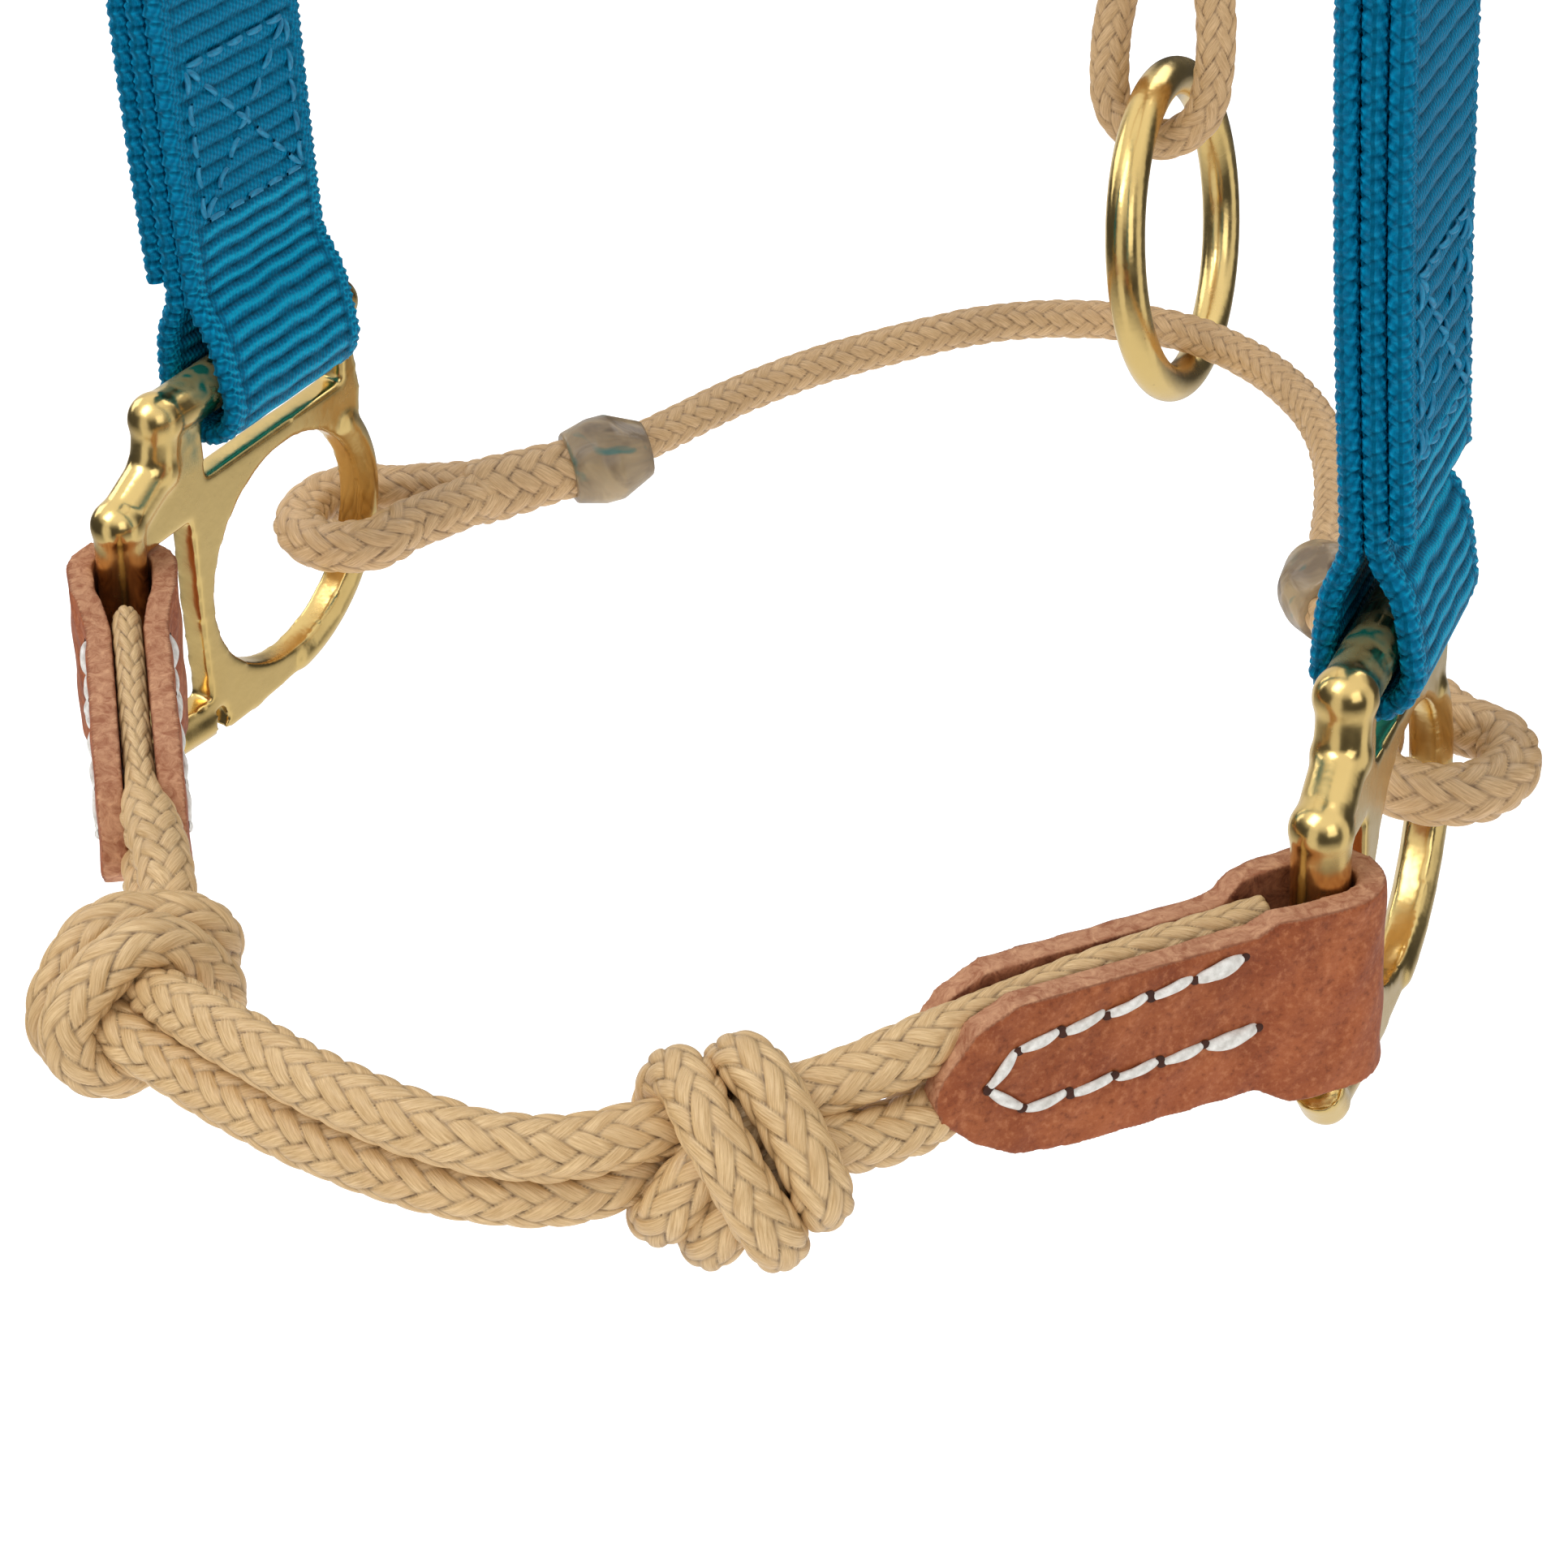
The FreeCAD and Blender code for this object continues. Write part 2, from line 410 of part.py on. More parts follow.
STRAND_LOWER = [
    (-68.81, -17.07, -14.40), (-67.78, -18.31, -14.43), (-66.76, -19.54, -14.48),
    (-65.74, -20.79, -14.55), (-64.71, -22.02, -14.63), (-63.69, -23.26, -14.74),
    (-62.67, -24.50, -14.86), (-61.65, -25.73, -15.02), (-60.64, -26.97, -15.21),
    (-59.63, -28.20, -15.40), (-58.62, -29.44, -15.60), (-57.61, -30.67, -15.81),
    (-56.61, -31.91, -16.02), (-55.60, -33.14, -16.24), (-54.59, -34.38, -16.47),
    (-53.59, -35.61, -16.69), (-52.58, -36.84, -16.92), (-51.57, -38.07, -17.15),
    (-50.55, -39.30, -17.36), (-49.52, -40.52, -17.57), (-48.49, -41.74, -17.76),
    (-47.44, -42.95, -17.92), (-46.38, -44.15, -18.06), (-45.32, -45.35, -18.17),
    (-44.24, -46.54, -18.25), (-43.15, -47.72, -18.30), (-42.06, -48.90, -18.33),
    (-40.98, -50.09, -18.35), (-39.90, -51.29, -18.36), (-38.85, -52.50, -18.38),
    (-37.81, -53.73, -18.40), (-36.81, -54.99, -18.44), (-35.83, -56.26, -18.50),
    (-34.95, -57.57, -18.74), (-34.28, -58.92, -19.27), (-33.84, -60.33, -19.88),
    (-33.44, -61.81, -20.36), (-32.96, -63.22, -20.95), (-32.71, -64.58, -21.73),
    (-32.93, -66.00, -22.40), (-33.53, -67.44, -22.66), (-34.33, -68.79, -22.42),
    (-35.18, -69.92, -21.70), (-35.99, -70.72, -20.59), (-36.64, -71.10, -19.20),
    (-37.07, -71.04, -17.67), (-37.19, -70.58, -16.16), (-37.02, -69.77, -14.79),
    (-36.68, -68.80, -13.56), (-36.31, -67.82, -12.34), (-35.88, -66.80, -11.18),
    (-35.31, -65.65, -10.23), (-34.52, -64.39, -9.67), (-33.57, -63.10, -9.54),
    (-32.53, -61.91, -9.80), (-31.47, -60.76, -10.16), (-30.41, -59.61, -10.54),
    (-29.39, -58.54, -11.18), (-28.65, -57.56, -12.22), (-28.33, -56.71, -13.54),
    (-28.42, -56.09, -15.01), (-28.89, -55.78, -16.50), (-29.54, -55.65, -17.96),
    (-30.25, -55.54, -19.40), (-31.03, -55.45, -20.80), (-32.06, -55.54, -22.02),
    (-33.33, -55.87, -22.91), (-34.75, -56.43, -23.34), (-36.16, -57.15, -23.29),
    (-37.40, -57.99, -22.76), (-38.30, -58.88, -21.82), (-38.77, -59.75, -20.58),
    (-38.75, -60.53, -19.20), (-38.23, -61.19, -17.85), (-37.30, -61.76, -16.68),
    (-36.16, -62.36, -15.73), (-34.97, -63.12, -14.97), (-33.69, -63.92, -14.43),
    (-32.33, -64.67, -14.02), (-30.90, -65.32, -13.72), (-29.42, -65.95, -13.73),
    (-27.98, -66.64, -13.64), (-26.59, -67.35, -13.23), (-25.20, -68.01, -12.78),
    (-23.78, -68.64, -12.36), (-22.33, -69.22, -12.00), (-20.84, -69.76, -11.72),
    (-19.33, -70.26, -11.50), (-17.79, -70.72, -11.36), (-16.25, -71.15, -11.27),
    (-14.69, -71.56, -11.21), (-13.14, -71.96, -11.18), (-11.58, -72.35, -11.16),
    (-10.01, -72.71, -11.15), (-8.44, -73.06, -11.15), (-6.87, -73.39, -11.15),
    (-5.29, -73.70, -11.15), (-3.70, -73.98, -11.16), (-2.12, -74.22, -11.17),
    (-0.52, -74.43, -11.18), (1.08, -74.60, -11.20), (2.68, -74.73, -11.23),
    (4.29, -74.81, -11.28), (5.89, -74.85, -11.35), (7.50, -74.82, -11.44),
    (9.10, -74.73, -11.57), (10.68, -74.54, -11.74), (12.25, -74.25, -11.96),
    (13.78, -73.83, -12.21), (15.26, -73.27, -12.50), (16.68, -72.58, -12.80),
    (18.04, -71.77, -13.09), (19.34, -70.86, -13.35), (20.60, -69.89, -13.53),
    (21.83, -68.85, -13.62), (23.03, -67.78, -13.61), (24.19, -66.68, -13.51),
    (25.32, -65.54, -13.49), (26.40, -64.37, -13.68), (27.38, -63.18, -14.13),
    (28.26, -61.94, -14.65), (29.17, -60.76, -15.23), (30.26, -59.83, -15.94),
    (31.51, -59.11, -16.65), (32.86, -58.58, -17.33), (34.24, -58.25, -18.09),
    (35.55, -58.13, -19.01), (36.95, -58.45, -19.74), (38.34, -59.13, -20.11),
    (39.63, -60.04, -20.03), (40.74, -61.02, -19.50), (41.57, -61.95, -18.53),
    (42.04, -62.70, -17.18), (42.01, -63.15, -15.64), (41.58, -63.28, -14.12),
    (40.83, -63.11, -12.73), (39.85, -62.68, -11.54), (38.79, -62.11, -10.48),
    (37.70, -61.52, -9.45), (36.54, -60.88, -8.56), (35.24, -60.13, -8.02),
    (33.89, -59.28, -7.94), (32.62, -58.40, -8.35), (31.53, -57.59, -9.20),
    (30.61, -56.91, -10.33), (29.73, -56.37, -11.56), (28.94, -55.94, -12.89),
    (28.29, -55.64, -14.33), (27.84, -55.63, -15.86), (27.65, -55.98, -17.40),
    (27.70, -56.59, -18.88), (27.84, -57.29, -20.33), (27.98, -58.02, -21.75),
    (28.17, -58.89, -23.09), (28.53, -60.01, -24.17), (29.09, -61.32, -24.89),
    (29.82, -62.70, -25.18), (30.67, -64.02, -24.96), (31.57, -65.13, -24.27),
    (32.44, -65.88, -23.18), (33.25, -66.16, -21.84), (33.95, -65.88, -20.44),
    (34.62, -65.06, -19.26), (35.40, -63.98, -18.38), (36.29, -62.99, -17.49),
    (37.10, -61.99, -16.53), (37.89, -60.81, -15.82), (38.79, -59.54, -15.49),
    (39.80, -58.31, -15.58), (40.77, -57.09, -15.96), (41.69, -55.83, -16.36),
    (42.56, -54.53, -16.71), (43.39, -53.17, -16.98), (44.18, -51.79, -17.18),
    (44.95, -50.38, -17.28), (45.73, -48.98, -17.30), (46.54, -47.59, -17.24),
    (47.37, -46.22, -17.11), (48.23, -44.87, -16.94), (49.12, -43.55, -16.72),
    (50.03, -42.25, -16.47), (50.97, -40.97, -16.21), (51.92, -39.70, -15.95),
    (52.89, -38.44, -15.70), (53.87, -37.19, -15.45), (54.86, -35.95, -15.22),
    (55.86, -34.71, -15.00), (56.87, -33.47, -14.80), (57.89, -32.24, -14.63),
    (58.92, -31.01, -14.46), (59.95, -29.79, -14.31), (60.98, -28.56, -14.17),
    (62.03, -27.35, -14.11), (63.10, -26.14, -14.09), (64.17, -24.94, -14.08),
    (65.24, -23.74, -14.10), (66.31, -22.55, -14.15), (67.39, -21.35, -14.22),
    (68.47, -20.17, -14.33)]


def nose_radius(to_knot, to_end):
    """rope radius, thinner near a knot and inside the leather"""
    knot_share = min(max((to_knot - 12.5) / 6.0, 0.0), 1.0)
    tab_share = min(max((to_end - 34.0) / 8.0, 0.0), 1.0)
    return min(KNOT_R + (NOSE_R - KNOT_R) * knot_share,
               NOSE_TAB_R + (NOSE_R - NOSE_TAB_R) * tab_share)


def nose_rope(strand):
    """one rope made of short lofted lengths that share their end circles"""
    line = [V(*p) for p in strand]
    last = len(line) - 1
    run = [0.0]
    for a, b in zip(line[:-1], line[1:]):
        run.append(run[-1] + (b - a).Length)
    across = Z_DIR
    circles = []
    for i, point in enumerate(line):
        tangent = unit(line[min(i + 1, last)] - line[max(i - 1, 0)])
        across = square_to(across, tangent)     # carried along so that the circles don't twist
        to_knot = min((point - k).Length for k in KNOTS)
        circle = Part.makeCircle(nose_radius(to_knot, min(run[i], run[-1] - run[i])))
        circle.Placement = FreeCAD.Placement(
            axes_matrix(across, tangent.cross(across), tangent, point))
        circles.append(Part.Wire([circle]))
    lengths = []
    for first in range(0, last, 12):
        end = min(first + 12, last)
        lengths.append(outward(Part.makeLoft(circles[first:end + 1:2], True, False)))
    return lengths[0].multiFuse(lengths[1:]).Solids[0]


# ---------------------------------------------------------------- round rope, eyes and clamps
def tube(points, r):
    """round rope along a smooth curve"""
    curve = Part.BSplineCurve()
    curve.interpolate(points)
    spine = Part.Wire([curve.toShape()])
    tangent = curve.tangent(curve.FirstParameter)[0]
    circle = Part.Wire([Part.Circle(points[0], tangent, r).toShape()])
    pipe = spine.makePipeShell([circle], True, False)
    # the sweep may come back as a bare shell
    if pipe.ShapeType != "Solid":
        pipe = Part.Solid(pipe)
    return outward(pipe)


def eye(centre, neck, facing, r_in, r_rope):
    """two legs of rope round centre that meet at neck; the eye lies square to facing"""
    out = unit(centre - neck)
    length = (centre - neck).Length
    sideways = unit(square_to(facing, out).cross(out))
    r = r_in + r_rope
    legs = []
    for s in (1, -1):
        points = [centre + out * r * cos(radians(a)) + sideways * (s * r * sin(radians(a)))
                  for a in (0, 22, 45, 68, 90)]
        points += [centre - out * (length * 0.35) + sideways * (s * r * 0.93),
                   centre - out * (length * 0.68) + sideways * (s * r * 0.52),
                   neck + sideways * (s * 0.6)]
        legs.append(tube(points, r_rope))
    return legs


def clamp(centre, direction):
    """solid moulded clamp on the rope: a barrel between two cones"""
    d = unit(direction)
    return fuse([cone(centre - d * 5.4, centre - d * 1.6, 4.7, 5.7),
                 Part.makeCylinder(5.7, 2.4, centre - d * 1.6, d),
                 cone(centre + d * 0.8, centre + d * 5.4, 5.7, 3.6)])


# ---------------------------------------------------------------- chin rope
CHIN_R = 2.65                   # single rope
CHIN_EYE_R = 3.4                # rope where the tail is buried in the eye
CHIN_EYE = {LEFT: V(-72.1, 33.6, -21.8), RIGHT: V(70.4, 30.4, -19.0)}
CHIN_NECK = {LEFT: V(-58.6, 46.6, -21.0), RIGHT: V(57.4, 46.0, -19.2)}
CHIN_CLAMP = {LEFT: V(-48.6, 57.0, -19.9), RIGHT: V(48.2, 60.0, -18.9)}
CHIN_AT = V(9.2, 117.6, -17.9)  # where the chin ring hangs
CHIN_PATH = [CHIN_CLAMP[LEFT], V(-45.0, 66.5, -19.6), V(-41.4, 77.0, -19.4),
             V(-35.4, 89.0, -19.0), V(-27.4, 100.2, -18.7), V(-18.6, 109.4, -18.2),
             V(-6.0, 116.3, -17.9), CHIN_AT, V(20.5, 112.6, -17.9), V(29.4, 105.2, -18.0),
             V(37.6, 93.6, -18.4), V(43.4, 78.0, -18.7), CHIN_CLAMP[RIGHT]]


def chin_rope():
    parts = []
    for side, _ in SIDES:
        neck, clamp_at = CHIN_NECK[side], CHIN_CLAMP[side]
        parts += eye(CHIN_EYE[side], neck, Z_DIR, 4.5, CHIN_EYE_R)
        d = unit(clamp_at - neck)
        parts.append(cone(neck - d * 3.0, clamp_at, 4.5, 3.7))
        parts.append(cone(neck - d * 6.0, neck - d * 2.9, 3.6, 4.5))
    parts.append(tube(CHIN_PATH, CHIN_R))
    return fuse(parts)


# ---------------------------------------------------------------- chin ring and jaw rope
CHIN_RING_R = 20.5              # to the middle of its rod
CHIN_RING_ROD = 2.6
RING_AXIS = unit(V(0.990, 0.054, 0.142))
RING_RISE = square_to(Z_DIR, RING_AXIS)
RING_CENTRE = CHIN_AT + RING_RISE * (CHIN_RING_R - CHIN_RING_ROD - CHIN_R - 0.22)

JAW_TOP = V(0.0, 138.0, 98.0)
JAW_LOW = RING_CENTRE + RING_RISE * CHIN_RING_R
JAW_DIR = unit(JAW_TOP - JAW_LOW)
JAW_LOW_EYE_L = 31.0            # eye centre to neck
JAW_TOP_EYE_L = 20.0
JAW_TAPER_L = 9.0               # neck to the thin end of the splice, where the clamp sits


def chin_ring():
    return Part.makeTorus(CHIN_RING_R, CHIN_RING_ROD, RING_CENTRE, RING_AXIS)


def jaw_rope():
    d = JAW_DIR
    low_neck = JAW_LOW + d * JAW_LOW_EYE_L
    top_neck = JAW_TOP - d * JAW_TOP_EYE_L
    parts = eye(JAW_LOW, low_neck, Y_DIR, CHIN_RING_ROD + 2.4, JAW_R)
    parts += eye(JAW_TOP, top_neck, X_DIR, JAW_R + 1.0, JAW_R)
    parts.append(cone(low_neck - d * 2, low_neck + d * JAW_TAPER_L, 4.1, 3.3))
    parts.append(cone(top_neck + d * 2, top_neck - d * JAW_TAPER_L, 4.1, 3.3))
    parts.append(rod(low_neck - d * 1, top_neck + d * 1, JAW_R))
    return fuse(parts)


def jaw_clamp_lower():
    return clamp(JAW_LOW + JAW_DIR * (JAW_LOW_EYE_L + JAW_TAPER_L), JAW_DIR)


def jaw_clamp_upper():
    return clamp(JAW_TOP - JAW_DIR * (JAW_TOP_EYE_L + JAW_TAPER_L), JAW_DIR * -1)


# ---------------------------------------------------------------- cheek straps
CHEEK_LEAN = {LEFT: -1.0, RIGHT: 7.0}   # degrees inwards where the strap leaves the casting
CHEEK_STEPS = 24


def cheek_line(side):
    """stations (point, width direction, outward direction) up the strap, and its length"""
    _, rear, _, out = casting_frame(side)
    low = casting_point(side, SLOT_L / 2, SLOT_BAR_UP)
    lean = radians(CHEEK_LEAN[side])
    start_dir = Z_DIR * cos(lean) - unit(V(out.x, out.y, 0)) * sin(lean)
    start_dir = square_to(start_dir, rear)
    top = V(side * (CHEEK_X - HALF_PITCH), CHEEK_Y, CHEEK_Z)
    length = (top - low).Length
    stations = []
    for i in range(CHEEK_STEPS + 1):
        # cubic between the casting's bar and the ring, and its derivative
        t = i / float(CHEEK_STEPS)
        point = (low * (2 * t ** 3 - 3 * t ** 2 + 1)
                 + start_dir * (length * (t ** 3 - 2 * t ** 2 + t))
                 + top * (-2 * t ** 3 + 3 * t ** 2)
                 + Z_DIR * (length * (t ** 3 - t ** 2)))
        tangent = unit(low * (6 * t * t - 6 * t)
                       + start_dir * (length * (3 * t * t - 4 * t + 1))
                       + top * (6 * t - 6 * t * t)
                       + Z_DIR * (length * (3 * t * t - 2 * t)))
        across = square_to(rear * (1 - t) + Y_DIR * t, tangent)
        normal = tangent.cross(across)
        if normal.dot(out) < 0:
            normal = normal * -1
        stations.append((point, across, normal))
    return stations, length


def cheek_at(stations, length, height, offset):
    """point at a height along the strap moved outwards by offset, and the width direction"""
    t = height / length * CHEEK_STEPS
    i = min(max(int(t), 0), CHEEK_STEPS - 1)
    f = t - i
    point, across, normal = [a * (1 - f) + b * f for a, b in zip(stations[i], stations[i + 1])]
    return point + unit(normal) * offset, unit(across)


def cheek_strap(side):
    """one length of webbing in three plies, looped round the ring and the casting's bar"""
    stations, top = cheek_line(side)
    half = HALF_PITCH
    bar_r = BAR_R + LOOP_PLAY + PLY / 2
    ring_r = SQ_ROD + LOOP_PLAY + 0.25 + PLY / 2

    def straight(start, end, offset):
        return [(start + (end - start) * k / 9.0, offset) for k in range(10)]

    # (height, offset): outer ply, from its free end above the casting up to the square ring
    path = straight(13.0, top - 14, 3 * half)
    path += [(top - 9, 3 * half + 0.35), (top - 5, half + ring_r - 0.45)]
    path += [(top + ring_r * sin(pi * k / 12), half + ring_r * cos(pi * k / 12))
             for k in range(13)]
    path += [(top - 5, half - ring_r + 0.45), (top - 9, -half - 0.35)]
    # inner ply, down to the casting
    path += straight(top - 14, 14.0, -half)
    path += [(10.5, -half - 0.35), (6.0, -bar_r + 0.9)]
    path += [(bar_r * sin(pi + pi * k / 14), bar_r * cos(pi + pi * k / 14)) for k in range(15)]
    # middle ply, back up to just under the square ring
    path += [(6.0, bar_r - 0.9), (10.5, half + 0.3)]
    path += straight(14.0, top - 16, half)

    placed = [cheek_at(stations, top, height, offset) for height, offset in path]
    return ribbon([p for p, _ in placed], [w for _, w in placed])


def cheek_stitching(side):
    """just above the casting and just under the square ring, on both faces"""
    stations, top = cheek_line(side)
    threads = []
    for low, high in ((20.0, 38.0), (top - 40.0, top - 20.0)):
        for offset in (3 * HALF_PITCH + PLY / 2, -HALF_PITCH - PLY / 2):
            def locate(height, across):
                point, width_dir = cheek_at(stations, top, height, offset)
                return point + width_dir * across
            threads += box_stitches(low, high, 3.4, locate)
    return Part.makeCompound(threads)


# ---------------------------------------------------------------- square rings
def square_ring(side):
    x, r = side * CHEEK_X, SQ_CORNER_R
    y0, y1 = CHEEK_Y - SQ_W / 2, CHEEK_Y + SQ_W / 2
    z0, z1 = CHEEK_Z, TOP_Z
    parts = [rod(V(x, y0 + r, z), V(x, y1 - r, z), SQ_ROD) for z in (z0, z1)]
    parts += [rod(V(x, y, z0 + r), V(x, y, z1 - r), SQ_ROD) for y in (y0, y1)]
    for y, z, turn in ((y1 - r, z1 - r, 0), (y0 + r, z1 - r, 90),
                       (y0 + r, z0 + r, 180), (y1 - r, z0 + r, 270)):
        corner = Part.makeTorus(r, SQ_ROD, V(0, 0, 0), Z_DIR, 0, 360, 90)
        corner.rotate(V(0, 0, 0), Z_DIR, turn)
        corner.transformShape(axes_matrix(Y_DIR, Z_DIR, X_DIR, V(x, y, z)))
        parts.append(corner)
    return fuse(parts)


# ---------------------------------------------------------------- crown strap
ARCH_Z = 372.0                  # where the arch over the poll springs
STRAP_IN = -3.5                 # strap above the buckle, from CHEEK_X
STRAP_OUT = 4.5                 # tail below the buckle, from CHEEK_X
TAIL_Z = 231.0                  # tip of the tail
HOLE_R = 3.9
HOLE_PITCH = 22.0
# right side of the strap, down through the buckle to its tail: (x from CHEEK_X, z)
CROWN_DOWN = [(STRAP_IN, ARCH_Z - 20), (STRAP_IN, 330.0), (STRAP_IN, 300.0), (STRAP_IN, 293.0),
              (-3.1, 290.2), (0.0, 286.6), (4.7, 282.0), (6.2, 279.8), (6.6, 276.5),
              (6.3, 272.0), (5.0, 267.0), (STRAP_OUT, 262.0), (STRAP_OUT, 245.0),
              (STRAP_OUT, TAIL_Z)]
# what is cut away below the pointed tail: (y from CHEEK_Y, z)
TAIL_CUT = [(-14, 230), (-14, 238), (-WEB_W / 2, 238.5), (0, TAIL_Z), (WEB_W / 2, 238.5),
            (14, 238), (14, 230)]
# punched holes: (x from CHEEK_X, z, axis); the second is where the tongue goes through
CROWN_HOLES = ([(STRAP_OUT, 252.0, X_DIR), (3.09, 283.575, unit(V(0.70, 0, 0.715)))]
               + [(STRAP_IN, 316.0 + HOLE_PITCH * k, X_DIR) for k in range(3)])


def ring_fold(x):
    """(x, z) of webbing that comes down, passes under a square ring's upper bar and goes up"""
    r = SQ_ROD + LOOP_PLAY + PLY / 2
    return ([(x + PAIR_OFFSET, TOP_Z + 14.0), (x + 1.6, TOP_Z + 10.0), (x + r - 0.6, TOP_Z + 4.0)]
            + arc(x, TOP_Z, r, 0, -180, 14)
            + [(x - r + 0.6, TOP_Z + 4.0), (x - 1.6, TOP_Z + 10.0),
               (x - PAIR_OFFSET, TOP_Z + 14.0)])


def crown_profile():
    """(x, z): fold at the left square ring, arch over the poll, down through the buckle"""
    x = -CHEEK_X - PAIR_OFFSET
    arch_left, arch_right = x + 0.05, CHEEK_X + STRAP_IN
    return ([(-CHEEK_X + PAIR_OFFSET, TOP_Z + 52.0)]
            + ring_fold(-CHEEK_X)
            + [(x, TOP_Z + 52.0), (x, 300.0), (x, ARCH_Z - 30), (arch_left, ARCH_Z - 12)]
            + arc((arch_left + arch_right) / 2.0, ARCH_Z, (arch_right - arch_left) / 2.0,
                  180, 0, 40)
            + [(CHEEK_X + dx, z) for dx, z in CROWN_DOWN])


def crown_strap():
    strap = strip(crown_profile())
    for dx, z, axis in CROWN_HOLES:
        centre = V(CHEEK_X + dx, CHEEK_Y, z)
        strap = strap.cut(Part.makeCylinder(HOLE_R, 5.0, centre - axis * 2.5, axis))
    tail_cut = face([V(CHEEK_X + 2, CHEEK_Y + dy, z) for dy, z in TAIL_CUT])
    return strap.cut(tail_cut.extrude(V(6, 0, 0)))


def crown_eyelets():
    flange_r, flange_t = 4.9, 0.3
    rings = []
    for dx, z, axis in CROWN_HOLES:
        centre = V(CHEEK_X + dx, CHEEK_Y, z)

        def disc(r, length, start):
            return Part.makeCylinder(r, length, centre + axis * start, axis)

        body = fuse([disc(HOLE_R - 0.05, PLY + 0.5, -(PLY / 2 + 0.25)),
                     disc(flange_r, flange_t, -(PLY / 2 + flange_t)),
                     disc(flange_r, flange_t, PLY / 2)])
        rings.append(body.cut(disc(3.3, 8, -4)))
    return Part.makeCompound(rings)


def crown_stitching():
    threads = []
    for x in (-CHEEK_X - PAIR_OFFSET - PLY / 2, -CHEEK_X + PAIR_OFFSET + PLY / 2):
        threads += box_stitches(TOP_Z + 18.0, TOP_Z + 46.0, 3.6,
                                lambda z, across: V(x, CHEEK_Y + across, z))
    return Part.makeCompound(threads)


# ---------------------------------------------------------------- buckle
BUCKLE_Z = 278.0                # bar of the buckle
BUCKLE_H = 28.0                 # bar to tip bar
BUCKLE_R = 2.0
BUCKLE_HALF_W = 16.4
TONGUE_W = 2.4
BLADE_T = 1.7
BLADE_X = CHEEK_X + 2.3         # inner face of the blade


def buckle_strap():
    """webbing looped under the square ring's bar and over the buckle's bar"""
    x, z = CHEEK_X, BUCKLE_Z
    r = BUCKLE_R + LOOP_PLAY + PLY / 2
    strap = strip(ring_fold(x)
                  + [(x - PAIR_OFFSET, z - 12.0), (x - 1.6, z - 8.0), (x - r + 0.4, z - 3.5)]
                  + arc(x, z, r, 180, 0, 14)
                  + [(x + r - 0.4, z - 3.5), (x + 1.6, z - 8.0), (x + PAIR_OFFSET, z - 12.0),
                     (x + PAIR_OFFSET, TOP_Z + 16.5)])
    # notch for the tongue
    return strap.cut(Part.makeBox(14, 10.4, 9.5, V(x - 7, CHEEK_Y - 5.2, z - 4.5)))


def buckle_stitching():
    """two rows of thread across the inner face"""
    threads = []
    x = CHEEK_X - PAIR_OFFSET - PLY / 2
    for z in (TOP_Z + 18.0, BUCKLE_Z - 15.5):
        for k in range(5):
            y = CHEEK_Y - 9.2 + 4.0 * k
            threads.append(rod(V(x, y, z), V(x, y + 2.8, z), THREAD_R))
    return Part.makeCompound(threads)


def buckle_frame():
    y0, y1 = CHEEK_Y - BUCKLE_HALF_W, CHEEK_Y + BUCKLE_HALF_W
    z0, z1 = BUCKLE_Z, BUCKLE_Z + BUCKLE_H
    corners = [V(CHEEK_X, y, z) for y, z in ((y0, z0), (y1, z0), (y1, z1), (y0, z1))]
    parts = []
    for i in range(4):
        parts += [rod(corners[i], corners[(i + 1) % 4], BUCKLE_R), ball(corners[i], BUCKLE_R)]
    return fuse(parts)


def buckle_tongue():
    y = CHEEK_Y - TONGUE_W / 2
    length = BUCKLE_H + 3.0
    hub = Part.makeCylinder(4.1, TONGUE_W, V(CHEEK_X, y, BUCKLE_Z), Y_DIR)
    blade = Part.makeBox(BLADE_T, TONGUE_W, length, V(BLADE_X, y, BUCKLE_Z))
    tip = Part.makeCylinder(BLADE_T / 2, TONGUE_W,
                            V(BLADE_X + BLADE_T / 2, y, BUCKLE_Z + length), Y_DIR)
    tongue = hub.multiFuse([blade, tip]).removeSplitter()
    bore = Part.makeCylinder(BUCKLE_R + 0.15, 4, V(CHEEK_X, CHEEK_Y - 2, BUCKLE_Z), Y_DIR)
    return tongue.cut(bore).Solids[0]


def strap_keeper():
    """rectangular band round the buckle strap and the tail"""
    x0, x1 = CHEEK_X - 2.9, CHEEK_X + 6.35
    width, height, wall, z = 26.6, 10, 1.2, 243.5
    outer = Part.makeBox(x1 - x0 + 2 * wall, width + 2 * wall, height,
                         V(x0 - wall, CHEEK_Y - width / 2 - wall, z - height / 2))
    inner = Part.makeBox(x1 - x0, width, 12, V(x0, CHEEK_Y - width / 2, z - 6))
    band = outer.cut(inner)
    upright = [e for e in band.Edges if abs(e.BoundBox.ZLength - height) < 0.01]
    return band.makeFillet(0.5, upright)


# ---------------------------------------------------------------- throat rope
THROAT_TAPER_L = 11.0           # neck to the thin end of the splice, where the clamp sits


def throat_eye(side):
    """eye centre on the rear bar of the square ring"""
    return V(side * CHEEK_X, CHEEK_Y + SQ_W / 2, CHEEK_Z + 14.0)


def throat_neck(side):
    return throat_eye(side) + V(-side * 9.0, 17.0, -17.5)


def throat_lead(side):
    """step along the rope as it leaves the neck"""
    return V(-side * 6, 20, -20)


